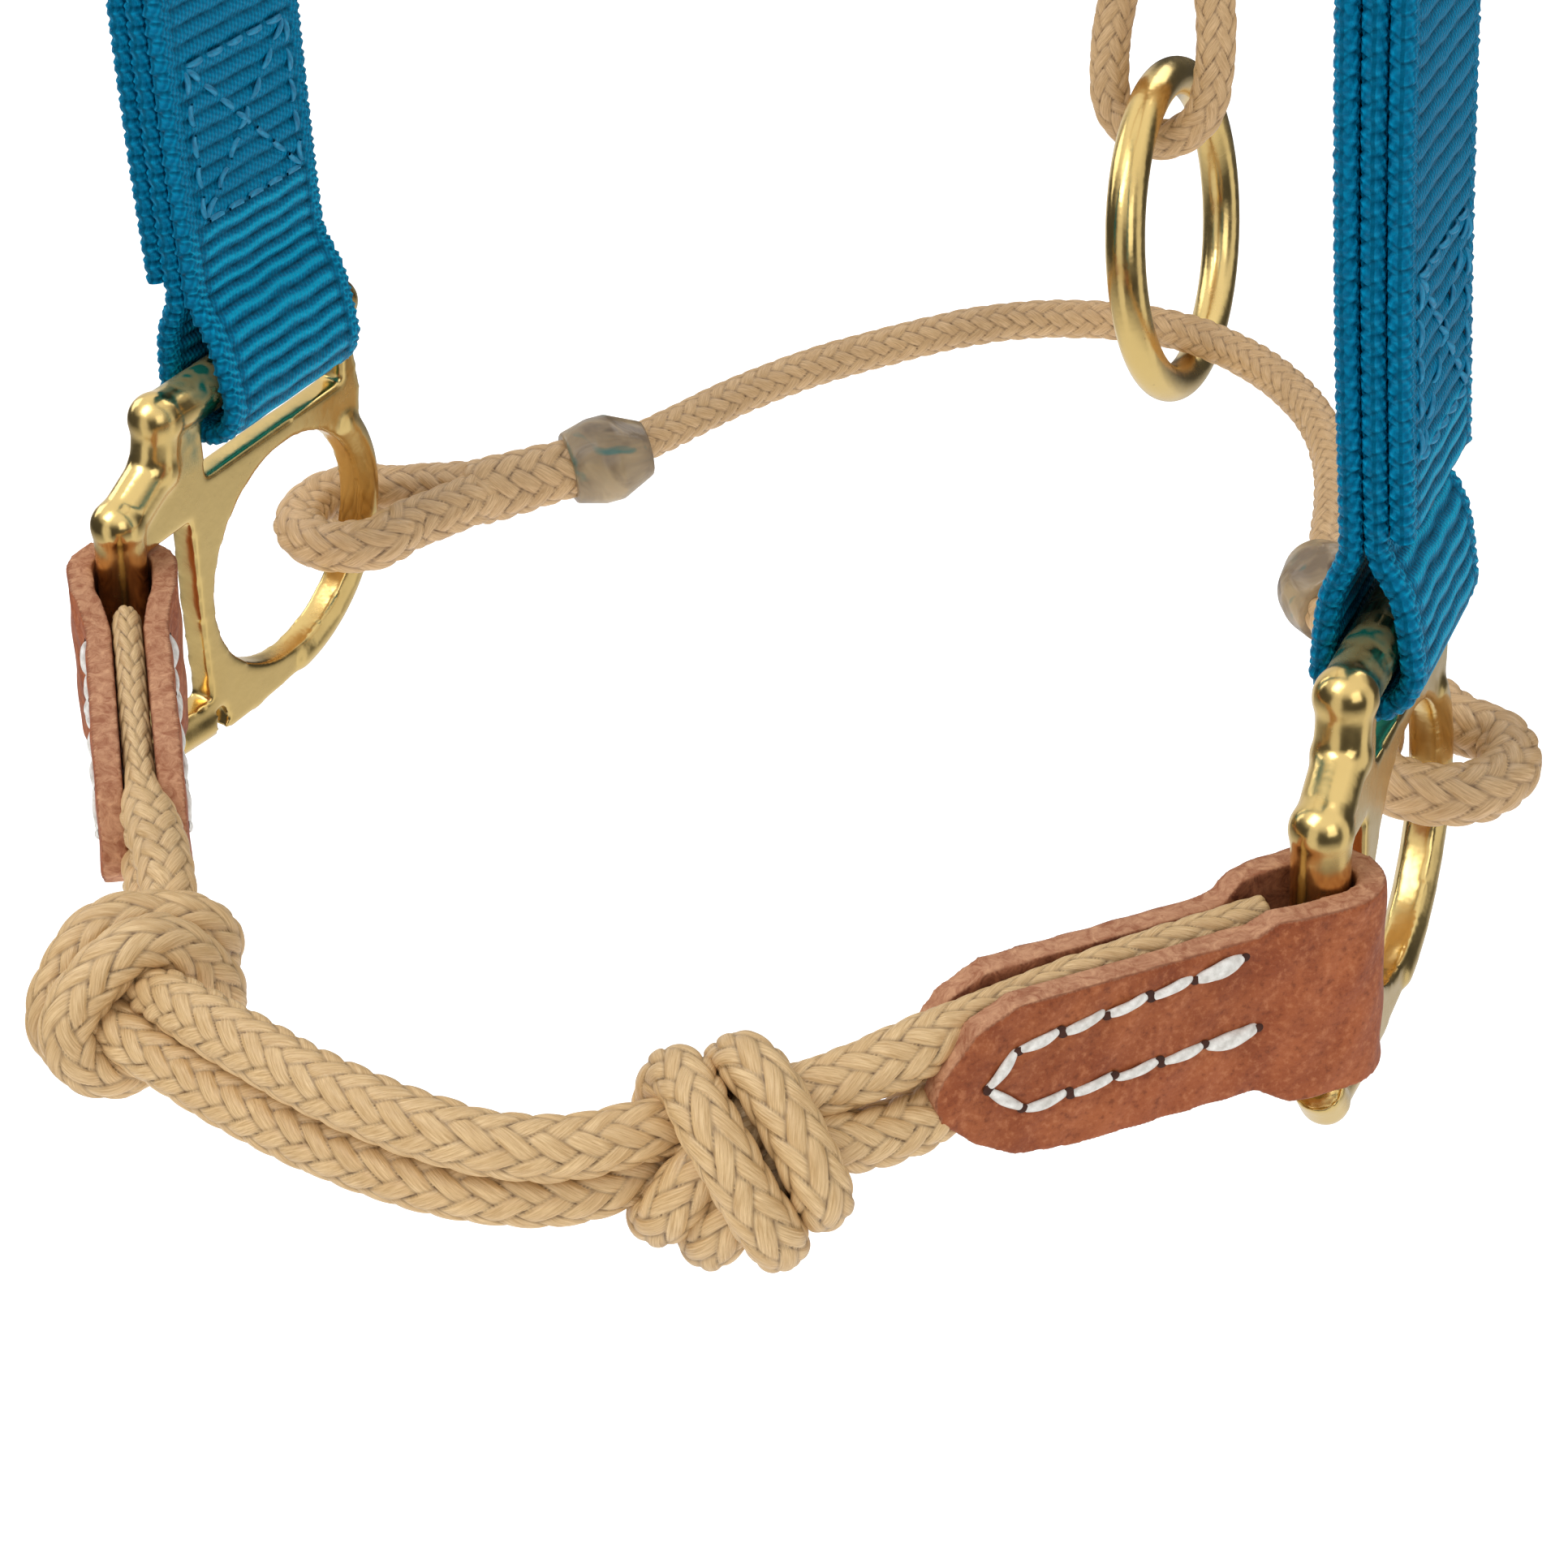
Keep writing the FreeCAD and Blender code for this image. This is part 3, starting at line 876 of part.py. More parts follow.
def throat_rope():
    """from ring to ring through the upper eye of the jaw rope"""
    parts = []
    half = {}
    for side, _ in SIDES:
        neck = throat_neck(side)
        parts += eye(throat_eye(side), neck, V(0, 0.45, 1), SQ_ROD + 2.5, JAW_R)
        d = unit(throat_lead(side))
        parts.append(cone(neck - d * 2.0, neck + d * THROAT_TAPER_L, 4.3, 3.3))
        half[side] = [neck, neck + throat_lead(side), V(side * 33, 104, 124),
                      V(side * 15, JAW_TOP.y - 6, JAW_TOP.z + 5)]
    parts.append(tube(half[LEFT] + [JAW_TOP] + half[RIGHT][::-1], JAW_R))
    return fuse(parts)


def throat_clamp(side):
    d = unit(throat_lead(side))
    return clamp(throat_neck(side) + d * THROAT_TAPER_L, d)


# ---------------------------------------------------------------- build
for side, tag in SIDES:
    save("casting_" + tag, casting(side))
    save("nose_tab_" + tag, nose_tab(side))
    save("nose_tab_stitching_" + tag, nose_tab_stitching(side))
    save("cheek_strap_" + tag, cheek_strap(side))
    save("cheek_stitching_" + tag, cheek_stitching(side))
    save("square_ring_" + tag, square_ring(side))
    save("chin_clamp_" + tag, clamp(CHIN_CLAMP[side], CHIN_CLAMP[side] - CHIN_NECK[side]))
    save("throat_clamp_" + tag, throat_clamp(side))
save("nose_rope_upper", nose_rope(STRAND_UPPER))
save("nose_rope_lower", nose_rope(STRAND_LOWER))
for make in (chin_rope, chin_ring, jaw_rope, jaw_clamp_lower, jaw_clamp_upper, crown_strap,
             crown_stitching, crown_eyelets, buckle_strap, buckle_stitching, buckle_frame,
             buckle_tongue, strap_keeper, throat_rope):
    save(make.__name__, make())
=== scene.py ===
# A horse's halter of braided rope and webbing, with leather tabs and brass fittings.
# It stands upright: crown at +Z, nose at -Y, chin at +Y, "left" at -X and "right" at +X.
# Tables and lengths are in mm from the middle of the noseband unless a comment says metres.
import json
import math

import bpy
import numpy as np
from mathutils import Matrix, Vector


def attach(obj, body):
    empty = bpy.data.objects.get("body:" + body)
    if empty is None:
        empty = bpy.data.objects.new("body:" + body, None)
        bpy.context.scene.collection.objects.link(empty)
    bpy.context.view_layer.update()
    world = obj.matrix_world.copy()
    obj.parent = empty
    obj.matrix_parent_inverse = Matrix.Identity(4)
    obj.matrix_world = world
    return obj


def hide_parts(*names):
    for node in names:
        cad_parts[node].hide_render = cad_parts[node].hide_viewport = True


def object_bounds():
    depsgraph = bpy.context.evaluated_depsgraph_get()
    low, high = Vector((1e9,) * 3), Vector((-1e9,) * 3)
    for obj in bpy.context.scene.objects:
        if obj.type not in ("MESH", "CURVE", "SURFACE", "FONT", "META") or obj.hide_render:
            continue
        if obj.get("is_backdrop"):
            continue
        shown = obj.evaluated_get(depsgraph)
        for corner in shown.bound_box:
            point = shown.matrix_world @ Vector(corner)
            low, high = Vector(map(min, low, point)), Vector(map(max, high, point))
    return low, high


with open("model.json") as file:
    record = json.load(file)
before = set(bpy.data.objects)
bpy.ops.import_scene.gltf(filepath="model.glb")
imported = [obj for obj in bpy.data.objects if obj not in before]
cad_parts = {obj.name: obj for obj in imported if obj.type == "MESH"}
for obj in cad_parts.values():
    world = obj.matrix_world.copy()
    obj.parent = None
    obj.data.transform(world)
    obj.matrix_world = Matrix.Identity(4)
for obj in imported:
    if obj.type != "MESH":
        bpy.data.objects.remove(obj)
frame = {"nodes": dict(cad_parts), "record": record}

low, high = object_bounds()
SIZE = {"cad": [list(map(float, low)), list(map(float, high))]}
NODES = frame["nodes"]
MM = 0.001
SIDES = ("left", "right")
MIRROR_X = np.array([-1.0, 1.0, 1.0])

# ORIGIN moves the tables to the frame's own origin, by the point the crown hangs from.
HANG_POINT = np.array([-1.5, 14.0, 430.5])
ORIGIN = np.zeros(3)
for mount in frame["record"]["mounts"]:
    if mount["name"] == "crown_hang":
        ORIGIN = np.array(mount["pos_m"], float) / MM - HANG_POINT


def table(text):
    """Array from text: blanks part the rows, commas part the columns."""
    return np.array([row.split(",") for row in text.split()], float)


def arc(x, z, radius, start, end, steps):
    """Rows of X, Z round a centre, to 0.01 mm. Angles in degrees."""
    angle = np.radians(np.linspace(start, end, steps + 1))
    return np.round(np.stack([x + radius * np.cos(angle), z + radius * np.sin(angle)], 1), 2)


def eye_path(first_leg, second_leg):
    """One path round an eye. The first leg starts at the tip, the second just after it."""
    return np.concatenate([table(first_leg)[::-1], table(second_leg)])


# ---------------------------------------------------------------- centre lines: X, Y, Z
# noseband ropes, from left to right, each with a knot on both sides
NOSE_UPPER = table("""
-67.05,-18.32,-7.81 -66.04,-19.57,-7.99 -65.04,-20.82,-8.16 -64.02,-22.06,-8.33
-63,-23.29,-8.5 -61.97,-24.52,-8.66 -60.95,-25.75,-8.83 -59.94,-26.99,-9.03
-58.92,-28.23,-9.23 -57.91,-29.47,-9.43 -56.91,-30.71,-9.64 -55.9,-31.95,-9.85
-54.89,-33.19,-10.08 -53.89,-34.42,-10.3 -52.88,-35.66,-10.53 -51.86,-36.89,-10.76
-50.84,-38.11,-10.99 -49.79,-39.32,-11.21 -48.73,-40.51,-11.42 -47.65,-41.69,-11.61
-46.55,-42.85,-11.79 -45.41,-43.98,-11.94 -44.26,-45.1,-12.07 -43.09,-46.2,-12.19
-41.9,-47.28,-12.29 -40.71,-48.37,-12.39 -39.54,-49.47,-12.49 -38.4,-50.59,-12.62
-37.3,-51.76,-12.78 -36.27,-52.98,-12.98 -35.31,-54.26,-13.25 -34.43,-55.57,-13.55
-33.62,-56.9,-13.95 -32.85,-58.19,-14.53 -31.97,-59.33,-15.22 -30.97,-60.36,-15.95
-30.17,-61.48,-16.77 -29.56,-62.76,-17.53 -28.97,-64.08,-18.24 -28.67,-65.46,-19
-28.65,-66.79,-19.89 -28.89,-68.18,-20.65 -29.42,-69.63,-21.06 -30.15,-71.05,-20.97
-30.97,-72.28,-20.39 -31.78,-73.21,-19.37 -32.43,-73.76,-18.02 -32.84,-73.85,-16.48
-32.95,-73.51,-14.93 -32.77,-72.77,-13.53 -32.32,-71.74,-12.37 -31.73,-70.61,-11.39
-31.08,-69.48,-10.45 -30.38,-68.31,-9.6 -29.6,-67.02,-9.06 -28.76,-65.67,-8.99
-27.92,-64.39,-9.42 -27.13,-63.33,-10.34 -26.52,-62.55,-11.6 -26.12,-61.93,-13.03
-25.73,-61.3,-14.47 -25.41,-60.66,-15.91 -25.47,-60.14,-17.43 -25.99,-59.84,-18.92
-26.86,-59.77,-20.26 -27.95,-59.87,-21.43 -29.09,-59.99,-22.56 -30.25,-60.12,-23.68
-31.55,-60.37,-24.58 -33,-60.82,-25.1 -34.45,-61.48,-25.16 -35.77,-62.29,-24.73
-36.8,-63.16,-23.87 -37.41,-64.04,-22.68 -37.52,-64.85,-21.3 -37.09,-65.57,-19.93
-36.15,-66.18,-18.79 -34.86,-66.8,-18.07 -33.56,-67.65,-17.64 -32.36,-68.58,-17.11
-31.06,-69.33,-16.54 -29.66,-70.09,-16.27 -28.22,-70.8,-16.36 -26.67,-71.23,-16.45
-25.1,-71.57,-16.56 -23.52,-71.85,-16.69 -21.93,-72.1,-16.85 -20.35,-72.32,-17.02
-18.76,-72.55,-17.18 -17.17,-72.77,-17.33 -15.58,-73.01,-17.45 -13.99,-73.26,-17.54
-12.4,-73.51,-17.61 -10.81,-73.76,-17.67 -9.22,-74,-17.71 -7.63,-74.22,-17.75
-6.03,-74.42,-17.78 -4.42,-74.58,-17.82 -2.82,-74.71,-17.86 -1.21,-74.81,-17.9
0.4,-74.87,-17.95 2.01,-74.89,-17.99 3.62,-74.87,-18.04 5.23,-74.8,-18.08
6.83,-74.68,-18.13 8.43,-74.5,-18.18 10.02,-74.25,-18.24 11.6,-73.92,-18.31
13.15,-73.5,-18.4 14.67,-72.98,-18.51 16.15,-72.36,-18.63 17.59,-71.64,-18.77
18.96,-70.81,-18.89 20.27,-69.87,-18.97 21.49,-68.83,-18.96 22.63,-67.69,-18.84
23.67,-66.49,-18.6 24.72,-65.3,-18.36 25.94,-64.25,-18.41 27.21,-63.39,-18.88
28.55,-62.74,-19.47 29.95,-62.3,-20.11 31.35,-61.78,-20.71 32.68,-61.34,-21.52
34.05,-61.43,-22.34 35.45,-61.99,-22.87 36.77,-62.89,-22.98 37.89,-63.96,-22.6
38.71,-65.06,-21.77 39.14,-66.07,-20.61 39.15,-66.89,-19.24 38.75,-67.38,-17.78
38.04,-67.54,-16.36 37.19,-67.47,-14.99 36.33,-67.34,-13.63 35.46,-67.17,-12.29
34.44,-66.82,-11.11 33.27,-66.19,-10.22 32.06,-65.27,-9.75 30.9,-64.17,-9.63
29.79,-63,-9.65 28.67,-61.84,-9.67 27.49,-60.81,-10 26.33,-59.98,-10.72
25.31,-59.42,-11.82 24.56,-59.19,-13.22 24.16,-59.25,-14.77 23.99,-59.48,-16.35
23.83,-59.72,-17.94 23.72,-60.08,-19.5 23.8,-60.76,-20.96 24.18,-61.84,-22.09
24.86,-63.13,-22.73 25.71,-64.43,-22.9 26.66,-65.7,-22.68 27.63,-66.58,-21.73
28.52,-67.15,-20.59 29.35,-67.36,-19.22 30.02,-66.93,-17.83 30.75,-66.25,-16.58
31.56,-65.35,-15.53 32.36,-64.26,-14.66 33.06,-63.03,-13.89 33.65,-61.73,-13.16
34.2,-60.26,-12.81 34.89,-58.82,-12.66 35.78,-57.54,-12.26 36.85,-56.38,-11.94
38.03,-55.29,-11.78 39.17,-54.17,-11.63 40.26,-52.99,-11.47 41.3,-51.77,-11.29
42.3,-50.53,-11.1 43.28,-49.26,-10.9 44.24,-47.98,-10.68 45.19,-46.7,-10.46
46.14,-45.43,-10.22 47.1,-44.16,-9.99 48.07,-42.89,-9.75 49.06,-41.64,-9.52
50.06,-40.4,-9.3 51.08,-39.16,-9.1 52.11,-37.94,-8.91 53.15,-36.72,-8.74
54.19,-35.5,-8.59 55.25,-34.29,-8.46 56.31,-33.08,-8.34 57.37,-31.88,-8.23
58.43,-30.67,-8.13 59.49,-29.46,-8.04 60.55,-28.25,-7.96 61.61,-27.04,-7.89
62.67,-25.83,-7.83 63.73,-24.61,-7.77 64.8,-23.41,-7.72 65.87,-22.21,-7.66
66.95,-21.01,-7.59 68.04,-19.83,-7.52""")
NOSE_LOWER = table("""
-67.78,-18.31,-14.43 -66.76,-19.54,-14.48 -65.74,-20.79,-14.55 -64.71,-22.02,-14.63
-63.69,-23.26,-14.74 -62.67,-24.5,-14.86 -61.65,-25.73,-15.02 -60.64,-26.97,-15.21
-59.63,-28.2,-15.4 -58.62,-29.44,-15.6 -57.61,-30.67,-15.81 -56.61,-31.91,-16.02
-55.6,-33.14,-16.24 -54.59,-34.38,-16.47 -53.59,-35.61,-16.69 -52.58,-36.84,-16.92
-51.57,-38.07,-17.15 -50.55,-39.3,-17.36 -49.52,-40.52,-17.57 -48.49,-41.74,-17.76
-47.44,-42.95,-17.92 -46.38,-44.15,-18.06 -45.32,-45.35,-18.17 -44.24,-46.54,-18.25
-43.15,-47.72,-18.3 -42.06,-48.9,-18.33 -40.98,-50.09,-18.35 -39.9,-51.29,-18.36
-38.85,-52.5,-18.38 -37.81,-53.73,-18.4 -36.81,-54.99,-18.44 -35.83,-56.26,-18.5
-34.95,-57.57,-18.74 -34.28,-58.92,-19.27 -33.84,-60.33,-19.88 -33.44,-61.81,-20.36
-32.96,-63.22,-20.95 -32.71,-64.58,-21.73 -32.93,-66,-22.4 -33.53,-67.44,-22.66
-34.33,-68.79,-22.42 -35.18,-69.92,-21.7 -35.99,-70.72,-20.59 -36.64,-71.1,-19.2
-37.07,-71.04,-17.67 -37.19,-70.58,-16.16 -37.02,-69.77,-14.79 -36.68,-68.8,-13.56
-36.31,-67.82,-12.34 -35.88,-66.8,-11.18 -35.31,-65.65,-10.23 -34.52,-64.39,-9.67
-33.57,-63.1,-9.54 -32.53,-61.91,-9.8 -31.47,-60.76,-10.16 -30.41,-59.61,-10.54
-29.39,-58.54,-11.18 -28.65,-57.56,-12.22 -28.33,-56.71,-13.54 -28.42,-56.09,-15.01
-28.89,-55.78,-16.5 -29.54,-55.65,-17.96 -30.25,-55.54,-19.4 -31.03,-55.45,-20.8
-32.06,-55.54,-22.02 -33.33,-55.87,-22.91 -34.75,-56.43,-23.34 -36.16,-57.15,-23.29
-37.4,-57.99,-22.76 -38.3,-58.88,-21.82 -38.77,-59.75,-20.58 -38.75,-60.53,-19.2
-38.23,-61.19,-17.85 -37.3,-61.76,-16.68 -36.16,-62.36,-15.73 -34.97,-63.12,-14.97
-33.69,-63.92,-14.43 -32.33,-64.67,-14.02 -30.9,-65.32,-13.72 -29.42,-65.95,-13.73
-27.98,-66.64,-13.64 -26.59,-67.35,-13.23 -25.2,-68.01,-12.78 -23.78,-68.64,-12.36
-22.33,-69.22,-12 -20.84,-69.76,-11.72 -19.33,-70.26,-11.5 -17.79,-70.72,-11.36
-16.25,-71.15,-11.27 -14.69,-71.56,-11.21 -13.14,-71.96,-11.18 -11.58,-72.35,-11.16
-10.01,-72.71,-11.15 -8.44,-73.06,-11.15 -6.87,-73.39,-11.15 -5.29,-73.7,-11.15
-3.7,-73.98,-11.16 -2.12,-74.22,-11.17 -0.52,-74.43,-11.18 1.08,-74.6,-11.2
2.68,-74.73,-11.23 4.29,-74.81,-11.28 5.89,-74.85,-11.35 7.5,-74.82,-11.44
9.1,-74.73,-11.57 10.68,-74.54,-11.74 12.25,-74.25,-11.96 13.78,-73.83,-12.21
15.26,-73.27,-12.5 16.68,-72.58,-12.8 18.04,-71.77,-13.09 19.34,-70.86,-13.35
20.6,-69.89,-13.53 21.83,-68.85,-13.62 23.03,-67.78,-13.61 24.19,-66.68,-13.51
25.32,-65.54,-13.49 26.4,-64.37,-13.68 27.38,-63.18,-14.13 28.26,-61.94,-14.65
29.17,-60.76,-15.23 30.26,-59.83,-15.94 31.51,-59.11,-16.65 32.86,-58.58,-17.33
34.24,-58.25,-18.09 35.55,-58.13,-19.01 36.95,-58.45,-19.74 38.34,-59.13,-20.11
39.63,-60.04,-20.03 40.74,-61.02,-19.5 41.57,-61.95,-18.53 42.04,-62.7,-17.18
42.01,-63.15,-15.64 41.58,-63.28,-14.12 40.83,-63.11,-12.73 39.85,-62.68,-11.54
38.79,-62.11,-10.48 37.7,-61.52,-9.45 36.54,-60.88,-8.56 35.24,-60.13,-8.02
33.89,-59.28,-7.94 32.62,-58.4,-8.35 31.53,-57.59,-9.2 30.61,-56.91,-10.33
29.73,-56.37,-11.56 28.94,-55.94,-12.89 28.29,-55.64,-14.33 27.84,-55.63,-15.86
27.65,-55.98,-17.4 27.7,-56.59,-18.88 27.84,-57.29,-20.33 27.98,-58.02,-21.75
28.17,-58.89,-23.09 28.53,-60.01,-24.17 29.09,-61.32,-24.89 29.82,-62.7,-25.18
30.67,-64.02,-24.96 31.57,-65.13,-24.27 32.44,-65.88,-23.18 33.25,-66.16,-21.84
33.95,-65.88,-20.44 34.62,-65.06,-19.26 35.4,-63.98,-18.38 36.29,-62.99,-17.49
37.1,-61.99,-16.53 37.89,-60.81,-15.82 38.79,-59.54,-15.49 39.8,-58.31,-15.58
40.77,-57.09,-15.96 41.69,-55.83,-16.36 42.56,-54.53,-16.71 43.39,-53.17,-16.98
44.18,-51.79,-17.18 44.95,-50.38,-17.28 45.73,-48.98,-17.3 46.54,-47.59,-17.24
47.37,-46.22,-17.11 48.23,-44.87,-16.94 49.12,-43.55,-16.72 50.03,-42.25,-16.47
50.97,-40.97,-16.21 51.92,-39.7,-15.95 52.89,-38.44,-15.7 53.87,-37.19,-15.45
54.86,-35.95,-15.22 55.86,-34.71,-15 56.87,-33.47,-14.8 57.89,-32.24,-14.63
58.92,-31.01,-14.46 59.95,-29.79,-14.31 60.98,-28.56,-14.17 62.03,-27.35,-14.11
63.1,-26.14,-14.09 64.17,-24.94,-14.08 65.24,-23.74,-14.1 66.31,-22.55,-14.15
67.39,-21.35,-14.22 68.47,-20.17,-14.33""")

# chin rope, from the left neck to the right one, and its two eyes
CHIN_PATH = table("""
-48.6,57,-19.9 -47.72,59.04,-19.81 -46.91,61.11,-19.74 -46.14,63.2,-19.68 -45.4,65.3,-19.63
-44.7,67.41,-19.58 -44.01,69.53,-19.54 -43.31,71.64,-19.51 -42.6,73.75,-19.47
-41.84,75.84,-19.43 -41.03,77.92,-19.38 -40.16,79.96,-19.31 -39.23,81.98,-19.24
-38.23,83.97,-19.17 -37.18,85.94,-19.1 -36.08,87.87,-19.03 -34.92,89.77,-18.98
-33.72,91.64,-18.93 -32.47,93.48,-18.89 -31.18,95.29,-18.85 -29.85,97.08,-18.8
-28.49,98.84,-18.75 -27.1,100.58,-18.68 -25.67,102.29,-18.61 -24.21,103.96,-18.52
-22.7,105.59,-18.43 -21.12,107.16,-18.33 -19.48,108.66,-18.24 -17.76,110.07,-18.16
-15.96,111.38,-18.09 -14.09,112.58,-18.03 -12.15,113.68,-17.99 -10.16,114.67,-17.95
-8.11,115.54,-17.92 -6.02,116.29,-17.9 -3.88,116.93,-17.89 -1.72,117.44,-17.88
0.48,117.8,-17.88 2.69,118.02,-17.89 4.92,118.06,-17.89 7.14,117.92,-17.9
9.34,117.57,-17.9 11.49,117.02,-17.9 13.59,116.28,-17.9 15.63,115.38,-17.9
17.6,114.36,-17.9 19.52,113.23,-17.9 21.38,112.01,-17.9 23.19,110.71,-17.91
24.95,109.34,-17.92 26.63,107.89,-17.94 28.26,106.37,-17.97 29.8,104.77,-18.01
31.28,103.1,-18.06 32.67,101.37,-18.13 33.99,99.57,-18.19 35.23,97.72,-18.26
36.38,95.82,-18.33 37.46,93.87,-18.39 38.45,91.88,-18.45 39.36,89.85,-18.5
40.2,87.79,-18.54 40.98,85.71,-18.58 41.7,83.6,-18.62 42.38,81.48,-18.65
43.02,79.35,-18.68 43.62,77.21,-18.71 44.2,75.06,-18.74 44.77,72.91,-18.76
45.33,70.75,-18.79 45.88,68.6,-18.81 46.44,66.44,-18.84 47.01,64.29,-18.86
47.59,62.14,-18.88 48.2,60,-18.9""")
CHIN_EYES = {"left": eye_path("""
-77.79,28.13,-22.14 -76.06,26.77,-22.12 -74.03,25.95,-22.09 -71.85,25.71,-22.03
-69.69,26.07,-21.95 -67.74,27.06,-21.86 -66.01,28.42,-21.77 -64.43,29.95,-21.67
-63.04,31.65,-21.58 -61.93,33.54,-21.49 -61.11,35.58,-21.4 -60.5,37.69,-21.32
-59.99,39.83,-21.24 -59.47,41.97,-21.16 -58.89,44.09,-21.08 -58.18,46.17,-21""", """
-79.08,29.9,-22.12 -79.82,31.96,-22.09 -79.98,34.15,-22.03 -79.53,36.29,-21.95
-78.47,38.21,-21.86 -77.04,39.88,-21.77 -75.46,41.4,-21.67 -73.71,42.73,-21.58
-71.78,43.77,-21.49 -69.71,44.51,-21.4 -67.57,45.03,-21.32 -65.42,45.47,-21.24
-63.26,45.9,-21.16 -61.12,46.4,-21.08 -59.02,47.03,-21"""), "right": eye_path("""
75.46,24.33,-18.92 76.99,26.03,-18.93 77.95,28.1,-18.93 78.3,30.36,-18.95
77.98,32.63,-18.97 76.99,34.69,-18.99 75.66,36.56,-19.01 74.16,38.29,-19.04
72.47,39.84,-19.06 70.58,41.14,-19.08 68.53,42.17,-19.1 66.4,43.03,-19.12
64.24,43.81,-19.14 62.08,44.59,-19.16 59.95,45.43,-19.18 57.86,46.38,-19.2""", """
73.51,23.13,-18.93 71.3,22.56,-18.93 69.01,22.62,-18.95 66.84,23.34,-18.97
65,24.69,-18.99 63.4,26.34,-19.01 61.96,28.13,-19.04 60.74,30.07,-19.06
59.8,32.16,-19.08 59.16,34.36,-19.1 58.7,36.61,-19.12 58.32,38.88,-19.14
57.95,41.14,-19.16 57.51,43.39,-19.18 56.94,45.62,-19.2""")}
# a neck is a tapered sleeve: its start at the eye and its end on the rope
CHIN_NECKS = {
    "left": ((-60.67, 44.44, -21.23), CHIN_PATH[0]),
    "right": ((59.05, 43.49, -19.25), CHIN_PATH[-1]),
}

# jaw rope: lower eye, upper eye, their necks and the straight rope between
JAW_EYES = [eye_path("""
4.53,115.54,10.3 2.28,115.63,10.53 0.21,115.89,11.44 -1.47,116.28,12.9 -2.56,116.79,14.82
-3.03,117.35,16.98 -3.28,117.91,19.17 -3.41,118.47,21.37 -3.4,119.04,23.58
-3.25,119.6,25.78 -2.98,120.15,27.97 -2.58,120.7,30.14 -2.08,121.25,32.3
-1.51,121.78,34.44 -0.89,122.32,36.56 -0.26,122.85,38.68 0.36,123.39,40.81
0.96,123.92,42.94 1.52,124.46,45.08 2.02,125.01,47.23""", """
6.75,115.63,10.76 8.71,115.89,11.87 10.23,116.28,13.51 11.12,116.79,15.53
11.36,117.35,17.72 11.39,117.91,19.93 11.28,118.47,22.13 11.05,119.04,24.32
10.68,119.6,26.5 10.18,120.15,28.65 9.55,120.7,30.77 8.83,121.25,32.86 8.05,121.78,34.93
7.22,122.32,36.98 6.37,122.85,39.03 5.53,123.39,41.08 4.71,123.92,43.13 3.94,124.46,45.2
3.22,125.01,47.3"""), eye_path("""
-0.34,139.68,104.58 -0.32,137.42,104.77 -0.27,135.22,104.2 -0.18,133.33,102.95
-0.08,131.99,101.12 0.04,131.18,98.99 0.15,130.59,96.79 0.26,130.23,94.54
0.38,130.15,92.26 0.48,130.36,90 0.59,130.76,87.75 0.69,131.25,85.52 0.79,131.74,83.3
0.89,132.16,81.06 1,132.46,78.8""", """
-0.32,141.76,103.66 -0.27,143.41,102.1 -0.18,144.48,100.09 -0.08,144.77,97.85
0.04,144.46,95.59 0.15,143.92,93.38 0.26,143.15,91.23 0.38,142.13,89.2 0.48,140.85,87.31
0.59,139.42,85.53 0.69,137.92,83.82 0.79,136.43,82.1 0.89,134.98,80.34 1,133.63,78.5""")]
JAW_NECKS = [
    ((2.72, 124.51, 45.33), (2.17, 127.24, 55.97)),
    ((0.90, 133.54, 80.58), (1.45, 130.81, 69.94)),
]
JAW_ROD = table("2.67,124.76,46.3 0.95,133.29,79.62")

# throat rope: the right half mirrors the left one
THROAT_LEFT_EYE = eye_path("""
-64.84,26.94,204.52 -62.68,26.39,204.65 -60.46,26.29,204.36 -58.36,26.63,203.67
-56.53,27.38,202.64 -55.14,28.54,201.32 -54.14,29.91,199.86 -53.28,31.34,198.36
-52.58,32.83,196.84 -52.05,34.38,195.31 -51.72,35.96,193.76 -51.59,37.59,192.22
-51.61,39.23,190.69 -51.74,40.87,189.17 -51.93,42.52,187.66 -52.12,44.17,186.15
-52.29,45.81,184.64 -52.41,47.46,183.12 -52.44,49.1,181.59""", """
-66.79,27.88,203.98 -68.38,29.16,203.07 -69.51,30.66,201.86 -70.08,32.29,200.43
-70,33.91,198.9 -69.46,35.45,197.36 -68.77,36.94,195.84 -67.92,38.38,194.35
-66.9,39.75,192.89 -65.72,41.03,191.48 -64.37,42.21,190.14 -62.89,43.31,188.85
-61.34,44.34,187.61 -59.75,45.35,186.39 -58.16,46.35,185.17 -56.58,47.37,183.94
-55.04,48.41,182.69 -53.56,49.5,181.41""")
THROAT_EYES = [THROAT_LEFT_EYE, (THROAT_LEFT_EYE * MIRROR_X)[::-1]]
THROAT_LEFT_NECK = table("-53.42,47.92,182.88 -50.72,56.91,173.89")
THROAT_NECKS = [THROAT_LEFT_NECK, THROAT_LEFT_NECK * MIRROR_X]
